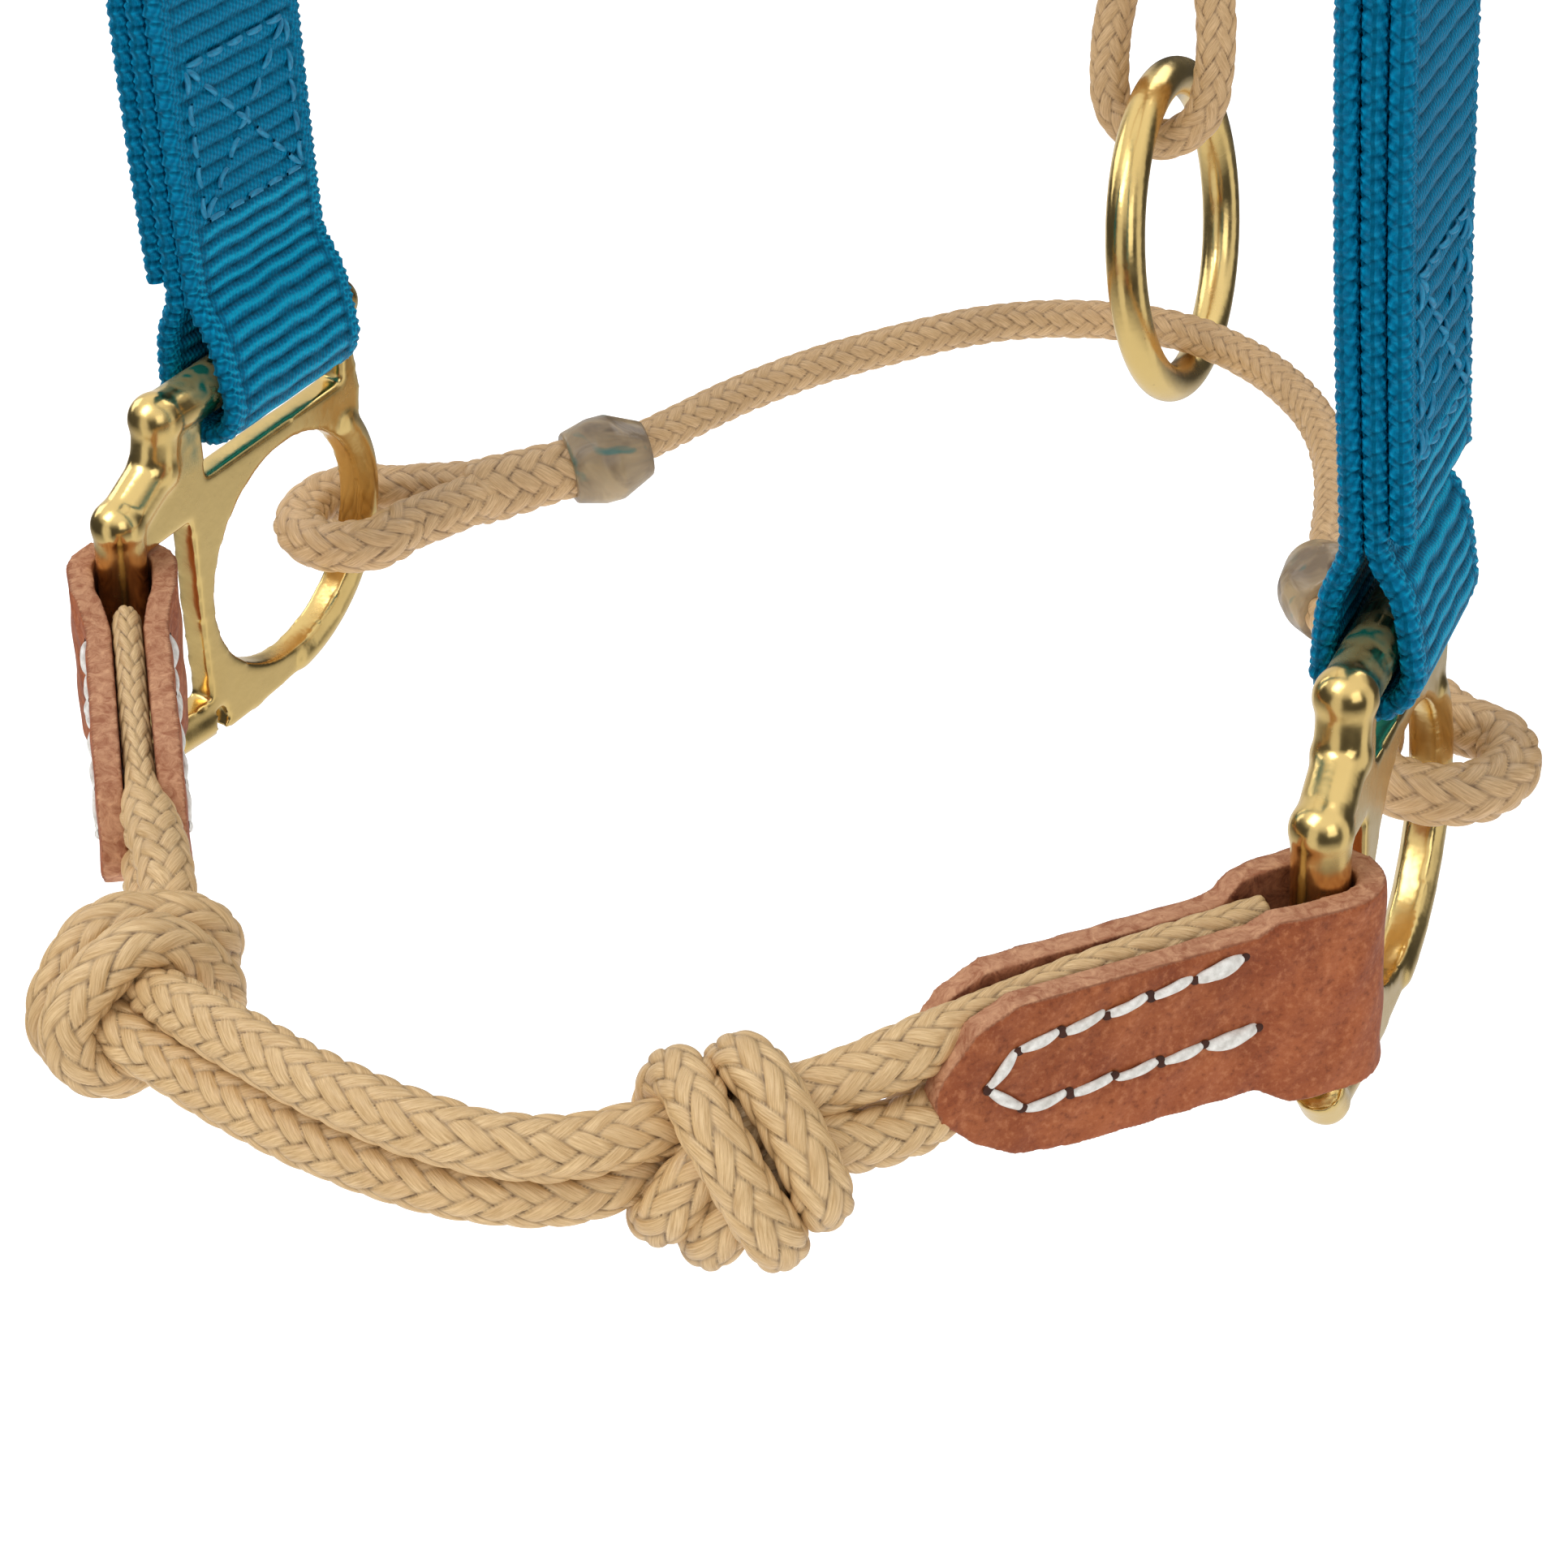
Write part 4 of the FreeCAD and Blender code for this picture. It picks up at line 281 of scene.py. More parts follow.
THROAT_LEFT_PATH = table("""
-53,49.3,181.5 -52.53,50.9,180.06 -52.06,52.5,178.6 -51.61,54.07,177.13
-51.15,55.64,175.64 -50.7,57.19,174.13 -50.26,58.73,172.61 -49.81,60.26,171.08
-49.36,61.77,169.54 -48.91,63.27,167.99 -48.45,64.76,166.42 -47.99,66.24,164.84
-47.53,67.7,163.26 -47.05,69.15,161.66 -46.56,70.59,160.06 -46.07,72.02,158.45
-45.56,73.43,156.84 -45.04,74.84,155.22 -44.52,76.25,153.59 -43.98,77.64,151.97
-43.44,79.04,150.35 -42.89,80.43,148.73 -42.33,81.83,147.11 -41.76,83.22,145.49
-41.18,84.62,143.89 -40.6,86.02,142.28 -40,87.43,140.69 -39.4,88.85,139.11
-38.8,90.28,137.54 -38.19,91.71,135.98 -37.57,93.17,134.43 -36.94,94.63,132.91
-36.31,96.11,131.4 -35.67,97.61,129.91 -35.03,99.13,128.44 -34.39,100.67,126.99
-33.73,102.22,125.57 -33.08,103.8,124.17 -32.42,105.41,122.8 -31.76,107.03,121.46
-31.07,108.67,120.15 -30.37,110.32,118.86 -29.64,111.97,117.59 -28.88,113.63,116.35
-28.08,115.28,115.13 -27.23,116.93,113.93 -26.34,118.57,112.75 -25.38,120.19,111.59
-24.37,121.79,110.46 -23.29,123.36,109.34 -22.14,124.89,108.25 -20.91,126.39,107.18
-19.61,127.83,106.13 -18.23,129.22,105.11 -16.78,130.55,104.12 -15.24,131.81,103.15
-13.64,133,102.21 -11.96,134.11,101.31 -10.19,135.13,100.47 -8.34,136.05,99.7
-6.38,136.83,99.03 -4.33,137.45,98.49 -2.2,137.85,98.13 0,138,98""")
THROAT_PATH = np.concatenate([THROAT_LEFT_PATH, (THROAT_LEFT_PATH[:-1] * MIRROR_X)[::-1]])

# cheek webbing: centre line X, Y, Z, then the direction across the tape at each point
CHEEK = {"left": (table("""
-72.82,14.86,23.66 -72.49,14.81,40.14 -71.77,14.73,56.59 -70.79,14.62,73.01
-69.63,14.51,89.41 -68.4,14.39,105.78 -67.18,14.27,122.13 -66.09,14.16,138.47
-65.2,14.08,154.79 -64.63,14.02,171.09 -64.89,14.01,176.06 -66.18,14.01,180.05
-66.6,14,185 -66.44,14,186.18 -65.97,14,187.28 -65.23,14,188.23 -64.27,14,188.96
-63.16,14,189.42 -61.97,14,189.59 -60.78,14,189.44 -59.67,14,188.99 -58.73,14,188.26
-58,14,187.31 -57.55,14,186.2 -57.4,14,185 -57.88,14,179.98 -59.27,14.01,175.98
-59.71,14.01,170.97 -60.28,14.06,154.67 -61.16,14.14,138.39 -62.25,14.24,122.12
-63.46,14.34,105.85 -64.69,14.46,89.6 -65.84,14.56,73.35 -66.82,14.66,57.1
-67.54,14.73,40.86 -67.9,14.78,24.62 -67.56,14.77,21.13 -65.59,14.75,16.66
-64.63,14.73,10.72 -64.73,14.73,9.73 -65.05,14.74,8.79 -65.57,14.75,7.94
-66.27,14.76,7.23 -67.1,14.77,6.68 -68.04,14.79,6.33 -69.03,14.81,6.19
-70.02,14.83,6.28 -70.96,14.84,6.58 -71.81,14.86,7.09 -72.52,14.87,7.78
-73.06,14.88,8.62 -73.4,14.89,9.56 -73.52,14.89,10.56 -72.69,14.87,16.62
-70.67,14.83,21.14 -70.36,14.82,24.64 -70.01,14.77,40.72 -69.3,14.69,56.79
-68.34,14.6,72.84 -67.21,14.49,88.89 -66,14.37,104.93 -64.8,14.26,120.96
-63.72,14.16,136.99 -62.83,14.08,153.01 -62.23,14.02,169.04"""), table("""
0.016,1,0.002 0.015,1,0.003 0.013,1,0.005 0.012,1,0.006 0.01,1,0.006 0.009,1,0.006
0.007,1,0.006 0.005,1,0.005 0.003,1,0.004 0.001,1,0.002 0.001,1,0.001 0.001,1,0.001
0,1,0 0,1,0 0,1,0 0,1,-0.001 0,1,-0.001 0,1,-0.001 0,1,-0.001
0,1,-0.001 0,1,-0.001 0,1,-0.001 0,1,0 0,1,0 0,1,0 0.001,1,0.001
0.001,1,0.001 0.001,1,0.002 0.003,1,0.004 0.005,1,0.005 0.007,1,0.006 0.009,1,0.006
0.01,1,0.006 0.012,1,0.006 0.013,1,0.005 0.015,1,0.003 0.016,1,0.002 0.017,1,0.001
0.017,1,0.001 0.018,1,0 0.018,1,0 0.018,1,0 0.018,1,0 0.018,1,0 0.018,1,0
0.018,1,-0.001 0.018,1,-0.001 0.018,1,-0.001 0.018,1,0 0.018,1,0 0.018,1,0
0.018,1,0 0.018,1,0 0.018,1,0 0.017,1,0.001 0.017,1,0.001 0.016,1,0.002
0.015,1,0.003 0.013,1,0.005 0.012,1,0.006 0.01,1,0.006 0.009,1,0.006 0.007,1,0.006
0.005,1,0.005 0.003,1,0.004 0.002,1,0.002""")), "right": (table("""
71.2,13.64,22.15 69.54,14.14,38.58 68.18,14.46,55.05 67.09,14.61,71.56
66.22,14.65,88.1 65.56,14.59,104.66 65.09,14.46,121.23 64.77,14.31,137.82
64.57,14.16,154.41 64.48,14.05,171.01 64.82,14.03,176.01 66.15,14.01,180
66.6,14,185 66.44,14,186.19 65.98,13.99,187.3 65.25,13.99,188.25 64.3,13.99,188.98
63.19,13.99,189.44 62,13.99,189.6 60.81,13.99,189.44 59.7,14,188.99 58.74,14,188.25
58.01,14,187.3 57.56,14,186.19 57.4,14,185 57.85,14,180 59.2,14.01,175.99
59.56,14.03,170.99 59.65,14.11,154.48 59.85,14.24,137.97 60.16,14.36,121.45
60.63,14.46,104.94 61.28,14.5,88.43 62.14,14.44,71.94 63.23,14.26,55.47
64.57,13.93,39.03 66.2,13.41,22.62 66.25,13.25,19.1 64.81,12.94,14.4
64.64,12.6,8.31 64.87,12.56,7.34 65.31,12.54,6.45 65.94,12.53,5.67
66.72,12.54,5.06 67.62,12.57,4.64 68.59,12.61,4.43 69.59,12.66,4.44
70.55,12.73,4.68 71.45,12.8,5.13 72.22,12.88,5.76 72.83,12.95,6.54
73.25,13.02,7.44 73.47,13.08,8.41 73.46,13.13,9.4 71.85,13.35,15.21
69.33,13.42,19.44 68.65,13.54,22.88 67.04,14.04,39.02 65.71,14.36,55.21
64.63,14.53,71.42 63.78,14.57,87.65 63.13,14.53,103.91 62.65,14.42,120.17
62.33,14.29,136.45 62.13,14.15,152.72 62.03,14.05,169"""), table("""
-0.05,0.998,-0.044 -0.046,0.999,-0.03 -0.041,0.999,-0.018 -0.036,0.999,-0.009
-0.031,1,-0.001 -0.025,1,0.004 -0.02,1,0.007 -0.015,1,0.008 -0.009,1,0.007
-0.004,1,0.004 -0.003,1,0.003 -0.002,1,0.002 0,1,0 0,1,0 0.001,1,-0.001
0.001,1,-0.001 0.001,1,-0.001 0.001,1,-0.001 0.001,1,-0.001 0.001,1,-0.001
0.001,1,-0.001 0.001,1,-0.001 0.001,1,-0.001 0,1,0 0,1,0 -0.002,1,0.002
-0.003,1,0.003 -0.004,1,0.004 -0.009,1,0.007 -0.014,1,0.008 -0.02,1,0.007
-0.025,1,0.004 -0.03,1,-0.001 -0.036,0.999,-0.008 -0.041,0.999,-0.018
-0.045,0.999,-0.029 -0.05,0.998,-0.043 -0.051,0.998,-0.046 -0.052,0.997,-0.051
-0.053,0.997,-0.056 -0.053,0.997,-0.057 -0.053,0.997,-0.058 -0.054,0.997,-0.059
-0.054,0.997,-0.06 -0.054,0.997,-0.06 -0.054,0.997,-0.061 -0.054,0.997,-0.061
-0.054,0.997,-0.061 -0.054,0.997,-0.06 -0.054,0.997,-0.06 -0.054,0.997,-0.059
-0.053,0.997,-0.058 -0.053,0.997,-0.057 -0.053,0.997,-0.056 -0.052,0.997,-0.051
-0.051,0.998,-0.046 -0.05,0.998,-0.043 -0.045,0.999,-0.03 -0.041,0.999,-0.018
-0.036,0.999,-0.009 -0.031,1,-0.002 -0.025,1,0.004 -0.02,1,0.007 -0.015,1,0.008
-0.01,1,0.007 -0.005,1,0.005"""))}

# crown and buckle webbing: X, Z in the plane Y = STRAP_Y
STRAP_Y = 14.0
CROWN_PATH = np.concatenate([
    table("-60.75,269 -60.75,231 -60.4,227 -58.25,221"),
    arc(-62, 217, radius=4.35, start=0, end=-180, steps=14),
    table("-65.75,221 -63.6,227 -63.25,231 -63.25,269 -63.25,300 -63.25,342 -63.2,360"),
    arc(-2.35, 372, radius=60.85, start=180, end=0, steps=40),
    table("""58.5,352 58.5,330 58.5,300 58.5,293 58.9,290.2 62,286.6 66.7,282 68.2,279.8
             68.6,276.5 68.3,272 67,267 66.5,262 66.5,245 66.5,231"""),
])
BUCKLE_PATH = np.concatenate([
    table("63.25,231 63.6,227 65.75,221"),
    arc(62, 217, radius=4.35, start=0, end=-180, steps=14),
    table("58.25,221 60.4,227 60.75,231 60.75,266 60.4,270 58.85,274.5"),
    arc(62, 278, radius=3.55, start=180, end=0, steps=14),
    table("65.15,274.5 63.6,270 63.25,266 63.25,233.5"),
])
# eyelet holes in the crown webbing: centre, then axis
CROWN_HOLES = [
    ((66.5, STRAP_Y, 252.0), (1, 0, 0)),
    ((65.09, STRAP_Y, 283.575), (0.7, 0, 0.715)),
    ((58.5, STRAP_Y, 316.0), (1, 0, 0)),
    ((58.5, STRAP_Y, 338.0), (1, 0, 0)),
    ((58.5, STRAP_Y, 360.0), (1, 0, 0)),
]

# axes of each leather tab: origin, along the tab, across it, and outward from the noseband
TAB = {
    "left": table("""-72.34196,-12.83837,-14.40884 0.6343,-0.76975,-0.07176
                     0.11006,-0.00196,0.99392 -0.76522,-0.63834,0.08348"""),
    "right": table("""72.14518,-16.08204,-14.69221 -0.66516,-0.74669,-0.00342
                      -0.06457,0.05295,0.99651 0.7439,-0.66306,0.08344"""),
}


# ---------------------------------------------------------------- curves
def unit(vector):
    vector = np.asarray(vector, float)
    return vector / np.linalg.norm(vector)


def clip01(value):
    return np.clip(value, 0, 1)


def arc_lengths(points):
    return np.r_[0, np.cumsum(np.linalg.norm(np.diff(points, axis=0), axis=1))]


def resample(points, step):
    """Even steps along X, Y, Z. Further columns are carried along."""
    distance = arc_lengths(points[:, :3])
    count = max(int(round(distance[-1] / step)), 3)
    even = np.linspace(0, distance[-1], count + 1)
    columns = [np.interp(even, distance, points[:, k]) for k in range(points.shape[1])]
    return np.stack(columns, 1)


def spline(points, per_span):
    """Catmull-Rom curve through the points, without repeated ones."""
    keep = np.r_[True, np.linalg.norm(np.diff(points, axis=0), axis=1) > 1e-4]
    points = points[keep]
    padded = np.r_[[2 * points[0] - points[1]], points, [2 * points[-1] - points[-2]]]
    t = np.linspace(0, 1, per_span, endpoint=False)[:, None]
    spans = []
    for p0, p1, p2, p3 in zip(padded[:-3], padded[1:-2], padded[2:-1], padded[3:]):
        spans.append(0.5 * ((2 * p1) + (-p0 + p2) * t
                            + (2 * p0 - 5 * p1 + 4 * p2 - p3) * t ** 2
                            + (-p0 + 3 * p1 - 3 * p2 + p3) * t ** 3))
    return np.r_[np.concatenate(spans), [points[-1]]]


def relax(points, passes):
    points = points.copy()
    for _ in range(passes):
        points[1:-1] = 0.25 * points[:-2] + 0.5 * points[1:-1] + 0.25 * points[2:]
    return points


def path_frames(points, start=None):
    """Tangents and two normals along a path, without twist."""
    tangent = np.gradient(points, axis=0)
    tangent /= np.maximum(np.linalg.norm(tangent, axis=1), 1e-9)[:, None]
    if start is None:
        first = np.cross(tangent[0], [0.3, 0.2, 1.0])
    else:
        first = np.asarray(start, float) - tangent[0] * np.dot(start, tangent[0])
    normal = np.empty_like(points)
    normal[0] = unit(first)
    for i in range(1, len(points)):
        turned = normal[i - 1] - tangent[i] * np.dot(normal[i - 1], tangent[i])
        normal[i] = turned / np.linalg.norm(turned)
    return tangent, normal, np.cross(tangent, normal)


def hash2(i, j, seed):
    """Repeatable noise from 0 to 1."""
    value = np.sin(i * 12.9898 + j * 78.233 + seed * 37.719) * 43758.5453
    return value - np.floor(value)


# ---------------------------------------------------------------- meshes
# A part is (points in mm, quads, {attribute name: a vector for each point}).
def grid_faces(rows, columns, wrap=False):
    i = np.arange(rows - 1)[:, None]
    j = np.arange(columns if wrap else columns - 1)[None, :]
    a = i * columns + j
    b = i * columns + (j + 1) % columns
    return np.stack([a, b, b + columns, a + columns], -1).reshape(-1, 4)


def put_attribute(mesh, name, vectors):
    attribute = mesh.attributes.new(name, "FLOAT_VECTOR", "POINT")
    attribute.data.foreach_set("vector", np.asarray(vectors, np.float32).ravel())


def scene_coords(points):
    """Points in mm as the flat float list of the frame, in metres."""
    return ((points + ORIGIN) * MM).astype(np.float32).ravel()


def join_parts(name, parts):
    """One smooth-shaded object from several parts."""
    bases = np.cumsum([0] + [len(part[0]) for part in parts[:-1]])
    points = np.concatenate([part[0] for part in parts]).astype(np.float32)
    quads = [part[1] + base for part, base in zip(parts, bases)]
    quads = np.concatenate(quads).astype(np.int32)
    mesh = bpy.data.meshes.new(name)
    mesh.vertices.add(len(points))
    mesh.vertices.foreach_set("co", scene_coords(points))
    mesh.loops.add(quads.size)
    mesh.loops.foreach_set("vertex_index", quads.ravel())
    mesh.polygons.add(len(quads))
    mesh.polygons.foreach_set("loop_start", np.arange(0, quads.size, 4, dtype=np.int32))
    mesh.polygons.foreach_set("loop_total", np.full(len(quads), 4, np.int32))
    mesh.polygons.foreach_set("use_smooth", np.full(len(quads), True))
    mesh.update(calc_edges=True)
    for key in parts[0][2]:
        put_attribute(mesh, key, np.concatenate([part[2][key] for part in parts]))
    mesh.validate(clean_customdata=False)
    piece = bpy.data.objects.new(name, mesh)
    bpy.context.collection.objects.link(piece)
    return piece


def finish_piece(piece, material, body, slot, *replaced):
    piece.data.materials.clear()
    piece.data.materials.append(material)
    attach(piece, body)
    if replaced:
        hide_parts(*replaced)


STRANDS = 8  # strands that run each way round a rope


def braid_tube(path, radius, step, around, pitch, relief, start=None,
               capped=(False, False), seed=0.0):
    """Braided rope. radius: a number, or a function of (distance, total, points)."""
    path = resample(path, step)
    tangent, normal, binormal = path_frames(path, start)
    distance = arc_lengths(path)
    total = distance[-1]
    if callable(radius):
        outer = radius(distance, total, path)
    else:
        outer = np.full(len(path), float(radius))
    for is_capped, end, from_end in zip(capped, (0, -1), (distance, total - distance)):
        if is_capped:
            inset = clip01(1 - from_end / (outer[end] * 0.45))
            outer = outer * np.sqrt(np.clip(1 - inset ** 4, 0.0004, 1))
    along, angle = np.meshgrid(distance, np.linspace(0, 2 * np.pi, around + 1), indexing="ij")
    # u and v count the strands of either lay; the lay wanders a little
    wander = 0.10 * np.sin(along * 0.21 + seed) + 0.07 * np.sin(along * 0.53 + 1.7 * seed)
    u = STRANDS * angle / (2 * np.pi) + along / pitch + wander
    v = -STRANDS * angle / (2 * np.pi) + along / pitch - wander
    i, j = np.floor(u), np.floor(v)
    part_u, part_v = u - i, v - j
    # each strand passes over two and under two
    phase = np.mod(i - j, 4)
    over = phase < 2
    across_strand = np.where(over, part_u, part_v)
    along_strand = np.where(over, part_v + (phase < 1), part_u + (phase > 2.5))
    strand = np.where(over, np.mod(i, STRANDS), np.mod(j, STRANDS) + 11)
    tone = hash2(strand, np.floor(along / (pitch * 1.9)), seed)
    crown = clip01(1 - np.abs(2 * across_strand - 1) ** 2.8) ** 0.55
    bow = clip01(1 - np.abs(along_strand - 1) ** 2.4) ** 0.7
    height = crown * (0.25 + 0.75 * bow)
    height = height * (0.88 + 0.24 * tone)
    outer = outer[:, None]
    surface = outer - relief * np.minimum(outer / 3.0, 1.25) * (1 - height)
    cosine, sine = np.cos(angle)[..., None], np.sin(angle)[..., None]
    normal, binormal = normal[:, None, :], binormal[:, None, :]
    points = path[:, None, :] + surface[..., None] * (cosine * normal + sine * binormal)
    slope = (2 * np.pi * surface / (STRANDS * pitch))[..., None]
    slope = slope * np.where(over, -1.0, 1.0)[..., None]
    fibre = tangent[:, None, :] + slope * (-sine * normal + cosine * binormal)
    fibre = fibre / np.linalg.norm(fibre, axis=2)[..., None]
    return points.reshape(-1, 3), grid_faces(*along.shape), {
        "braid": np.stack([u, v, over.astype(float)], -1).reshape(-1, 3),
        "tint": np.stack([height, tone, along / 10.0], -1).reshape(-1, 3),
        "fibre": fibre.reshape(-1, 3),
    }


# ---------------------------------------------------------------- materials
def srgb(red, green, blue):
    """Linear RGBA from 0-255 sRGB."""
    linear = []
    for value in (red, green, blue):
        value = value / 255.0
        linear.append(value / 12.92 if value <= 0.04045 else ((value + 0.055) / 1.055) ** 2.4)
    return linear + [1.0]


class Graph:
    """Short calls that add nodes to a tree. Values may be numbers or sockets."""

    def __init__(self, tree):
        tree.nodes.clear()
        self.tree = tree

    def node(self, kind, **settings):
        node = self.tree.nodes.new(kind)
        for name, value in settings.items():
            setattr(node, name, value)
        return node

    def put(self, socket, value):
        if isinstance(value, bpy.types.NodeSocket):
            self.tree.links.new(value, socket)
        else:
            socket.default_value = value

    def surface(self, inputs):
        for name, value in inputs.items():
            self.put(self.shader.inputs[name], value)

    def math(self, operation, *values):
        node = self.node("ShaderNodeMath", operation=operation)
        for socket, value in zip(node.inputs, values):
            self.put(socket, value)
        return node.outputs[0]

    def times(self, first, second):
        return self.math("MULTIPLY", first, second)

    def plus(self, first, second):
        return self.math("ADD", first, second)

    def split(self, vector):
        node = self.node("ShaderNodeSeparateXYZ")
        self.put(node.inputs[0], vector)
        return node.outputs[0], node.outputs[1], node.outputs[2]

    def attribute(self, name):
        return self.node("ShaderNodeAttribute", attribute_name=name).outputs["Vector"]

    def stretched(self, x, y, scale, z=0.0):
        """Vector with x and y each at its own scale."""
        values = self.times(x, scale[0]), self.times(y, scale[1]), z
        node = self.node("ShaderNodeCombineXYZ")
        for socket, value in zip(node.inputs, values):
            self.put(socket, value)
        return node.outputs[0]

    def noise(self, vector, scale=1.0, detail=2.0, rough=0.5, distortion=0.0):
        node = self.node("ShaderNodeTexNoise")
        self.put(node.inputs["Vector"], vector)
        node.inputs["Scale"].default_value = scale
        node.inputs["Detail"].default_value = detail
        node.inputs["Roughness"].default_value = rough
        node.inputs["Distortion"].default_value = distortion
        return node.outputs["Fac"]

    def mix(self, amount, base, over, weight=None):
        """Lay one colour over another. weight scales the amount."""
        if weight is not None:
            amount = self.times(amount, weight)
        node = self.node("ShaderNodeMix", data_type="RGBA")
        for index, value in ((0, amount), (6, base), (7, over)):
            self.put(node.inputs[index], value)
        return node.outputs[2]

    def ramp(self, value, low, high):
        """0 at low to 1 at high, clamped."""
        node = self.node("ShaderNodeMapRange", clamp=True)
        for socket, number in zip(node.inputs, (value, low, high, 0.0, 1.0)):
            self.put(socket, number)
        return node.outputs[0]

    def bump(self, height, strength, distance):
        node = self.node("ShaderNodeBump")
        self.put(node.inputs["Height"], height)
        node.inputs["Strength"].default_value = strength
        node.inputs["Distance"].default_value = distance
        return node.outputs[0]

    def coords(self):
        return self.node("ShaderNodeTexCoord").outputs["Object"]


def new_material(name):
    material = bpy.data.materials.new(name)
    material.use_nodes = True
    graph = Graph(material.node_tree)
    output = graph.node("ShaderNodeOutputMaterial")
    graph.shader = graph.node("ShaderNodeBsdfPrincipled")
    graph.put(output.inputs[0], graph.shader.outputs[0])
    graph.material = material
    return graph


def rope_material(name, light, dark, deep):
    """Filaments along each strand, with painted shade where the strands meet."""
    graph = new_material(name)
    u, v, over = graph.split(graph.attribute("braid"))
    height, tone, _ = graph.split(graph.attribute("tint"))
    grain = (12.0, 0.8)  # noise scale across and along a strand
    lay_u = graph.noise(graph.stretched(u, v, grain), detail=3.0, rough=0.65)
    lay_v = graph.noise(graph.stretched(v, u, grain, z=5.0), detail=3.0, rough=0.65)
    under = graph.math("SUBTRACT", 1.0, over)
    filaments = graph.plus(graph.times(lay_u, over), graph.times(lay_v, under))
    colour = graph.mix(graph.ramp(filaments, low=0.33, high=0.67), dark, light)
    colour = graph.mix(graph.ramp(tone, low=0.0, high=1.0), colour, dark, weight=0.35)
    stain = graph.ramp(graph.noise(graph.coords(), scale=60.0), low=0.45, high=0.75)
    colour = graph.mix(stain, colour, deep, weight=0.16)
    # painted shade: the colour turns to the deep tone in the gaps where the strands dive under
    gap_shade_falloff = 1.5
    gap = graph.math("POWER", graph.ramp(height, low=0.62, high=0.04), gap_shade_falloff)
    graph.surface({
        "Base Color": graph.mix(gap, colour, deep),
        "Roughness": 0.36,
        "Specular IOR Level": 0.55,
        "Anisotropic": 0.80,
        "Tangent": graph.attribute("fibre"),
        "Normal": graph.bump(filaments, strength=0.60, distance=0.00016),
    })
    return graph.material


RIB_PITCH = 2.1  # length of one rib of the webbing
WARP_PITCH = 0.62  # width of one warp thread


def web_material(name):
    """Blue tape: slanted warp threads, painted shade in the grooves between the ribs, and a
    painted highlight on the rib tops in the marked zone.
    """
    # deep: the colour of the painted shade in the grooves between the ribs
    light, mid, deep = srgb(0, 142, 186), srgb(0, 104, 144), srgb(0, 52, 76)
    graph = new_material(name)
    x, y, _ = graph.split(graph.attribute("web"))
    height, _, highlight_zone = graph.split(graph.attribute("tint"))
    warp_rate = 2 * math.pi / WARP_PITCH
    twill_rate = -2 * math.pi / 0.7
    # weights: wobble of the warp, share of warp and of twill in the weave
    wobble_weight, warp_weight, twill_weight = 1.2, 0.5, 0.28
    wobble = graph.noise(graph.stretched(x, y, (0.5, 0.5)), detail=1.0)
    wobble = graph.times(wobble, wobble_weight)
    slant = graph.plus(graph.times(x, warp_rate), graph.times(y, 2 * math.pi / RIB_PITCH))
    warp = graph.math("SINE", graph.plus(slant, wobble))
    twill = graph.plus(graph.times(x, warp_rate * 0.5), graph.times(y, twill_rate))
    twill = graph.math("SINE", twill)
    fine = graph.noise(graph.stretched(x, y, (9.0, 2.2)), detail=3.0, rough=0.6)
    weave = graph.plus(graph.times(warp, warp_weight),
                       graph.plus(graph.times(twill, twill_weight), fine))
    colour = graph.mix(graph.ramp(weave, low=0.0, high=1.35), mid, light)
    wear = graph.noise(graph.coords(), scale=90.0, detail=3.0, rough=0.6)
    colour = graph.mix(graph.ramp(wear, low=0.42, high=0.7), colour, mid, weight=0.30)
    # painted highlight: in the marked zone the rib tops are brightened towards pale cyan
    ridge_highlight = graph.times(highlight_zone, graph.ramp(height, low=0.80, high=1.0))
    colour = graph.mix(ridge_highlight, colour, srgb(10, 176, 214), weight=0.8)
    # painted shade: the grooves are darkened by 0.8, and by 1.0 in the zone with the painted
    # highlight
    groove = graph.ramp(height, low=0.80, high=0.05)
    colour = graph.mix(groove, colour, deep, weight=graph.plus(0.80, graph.times(highlight_zone, 0.2)))
    graph.surface({
        "Base Color": colour,
        "Roughness": 0.42,
        "Specular IOR Level": 0.16,
        "Specular Tint": [0.25, 0.75, 1.0, 1.0],
        "Normal": graph.bump(weave, strength=0.60, distance=0.00024),
    })
    return graph.material


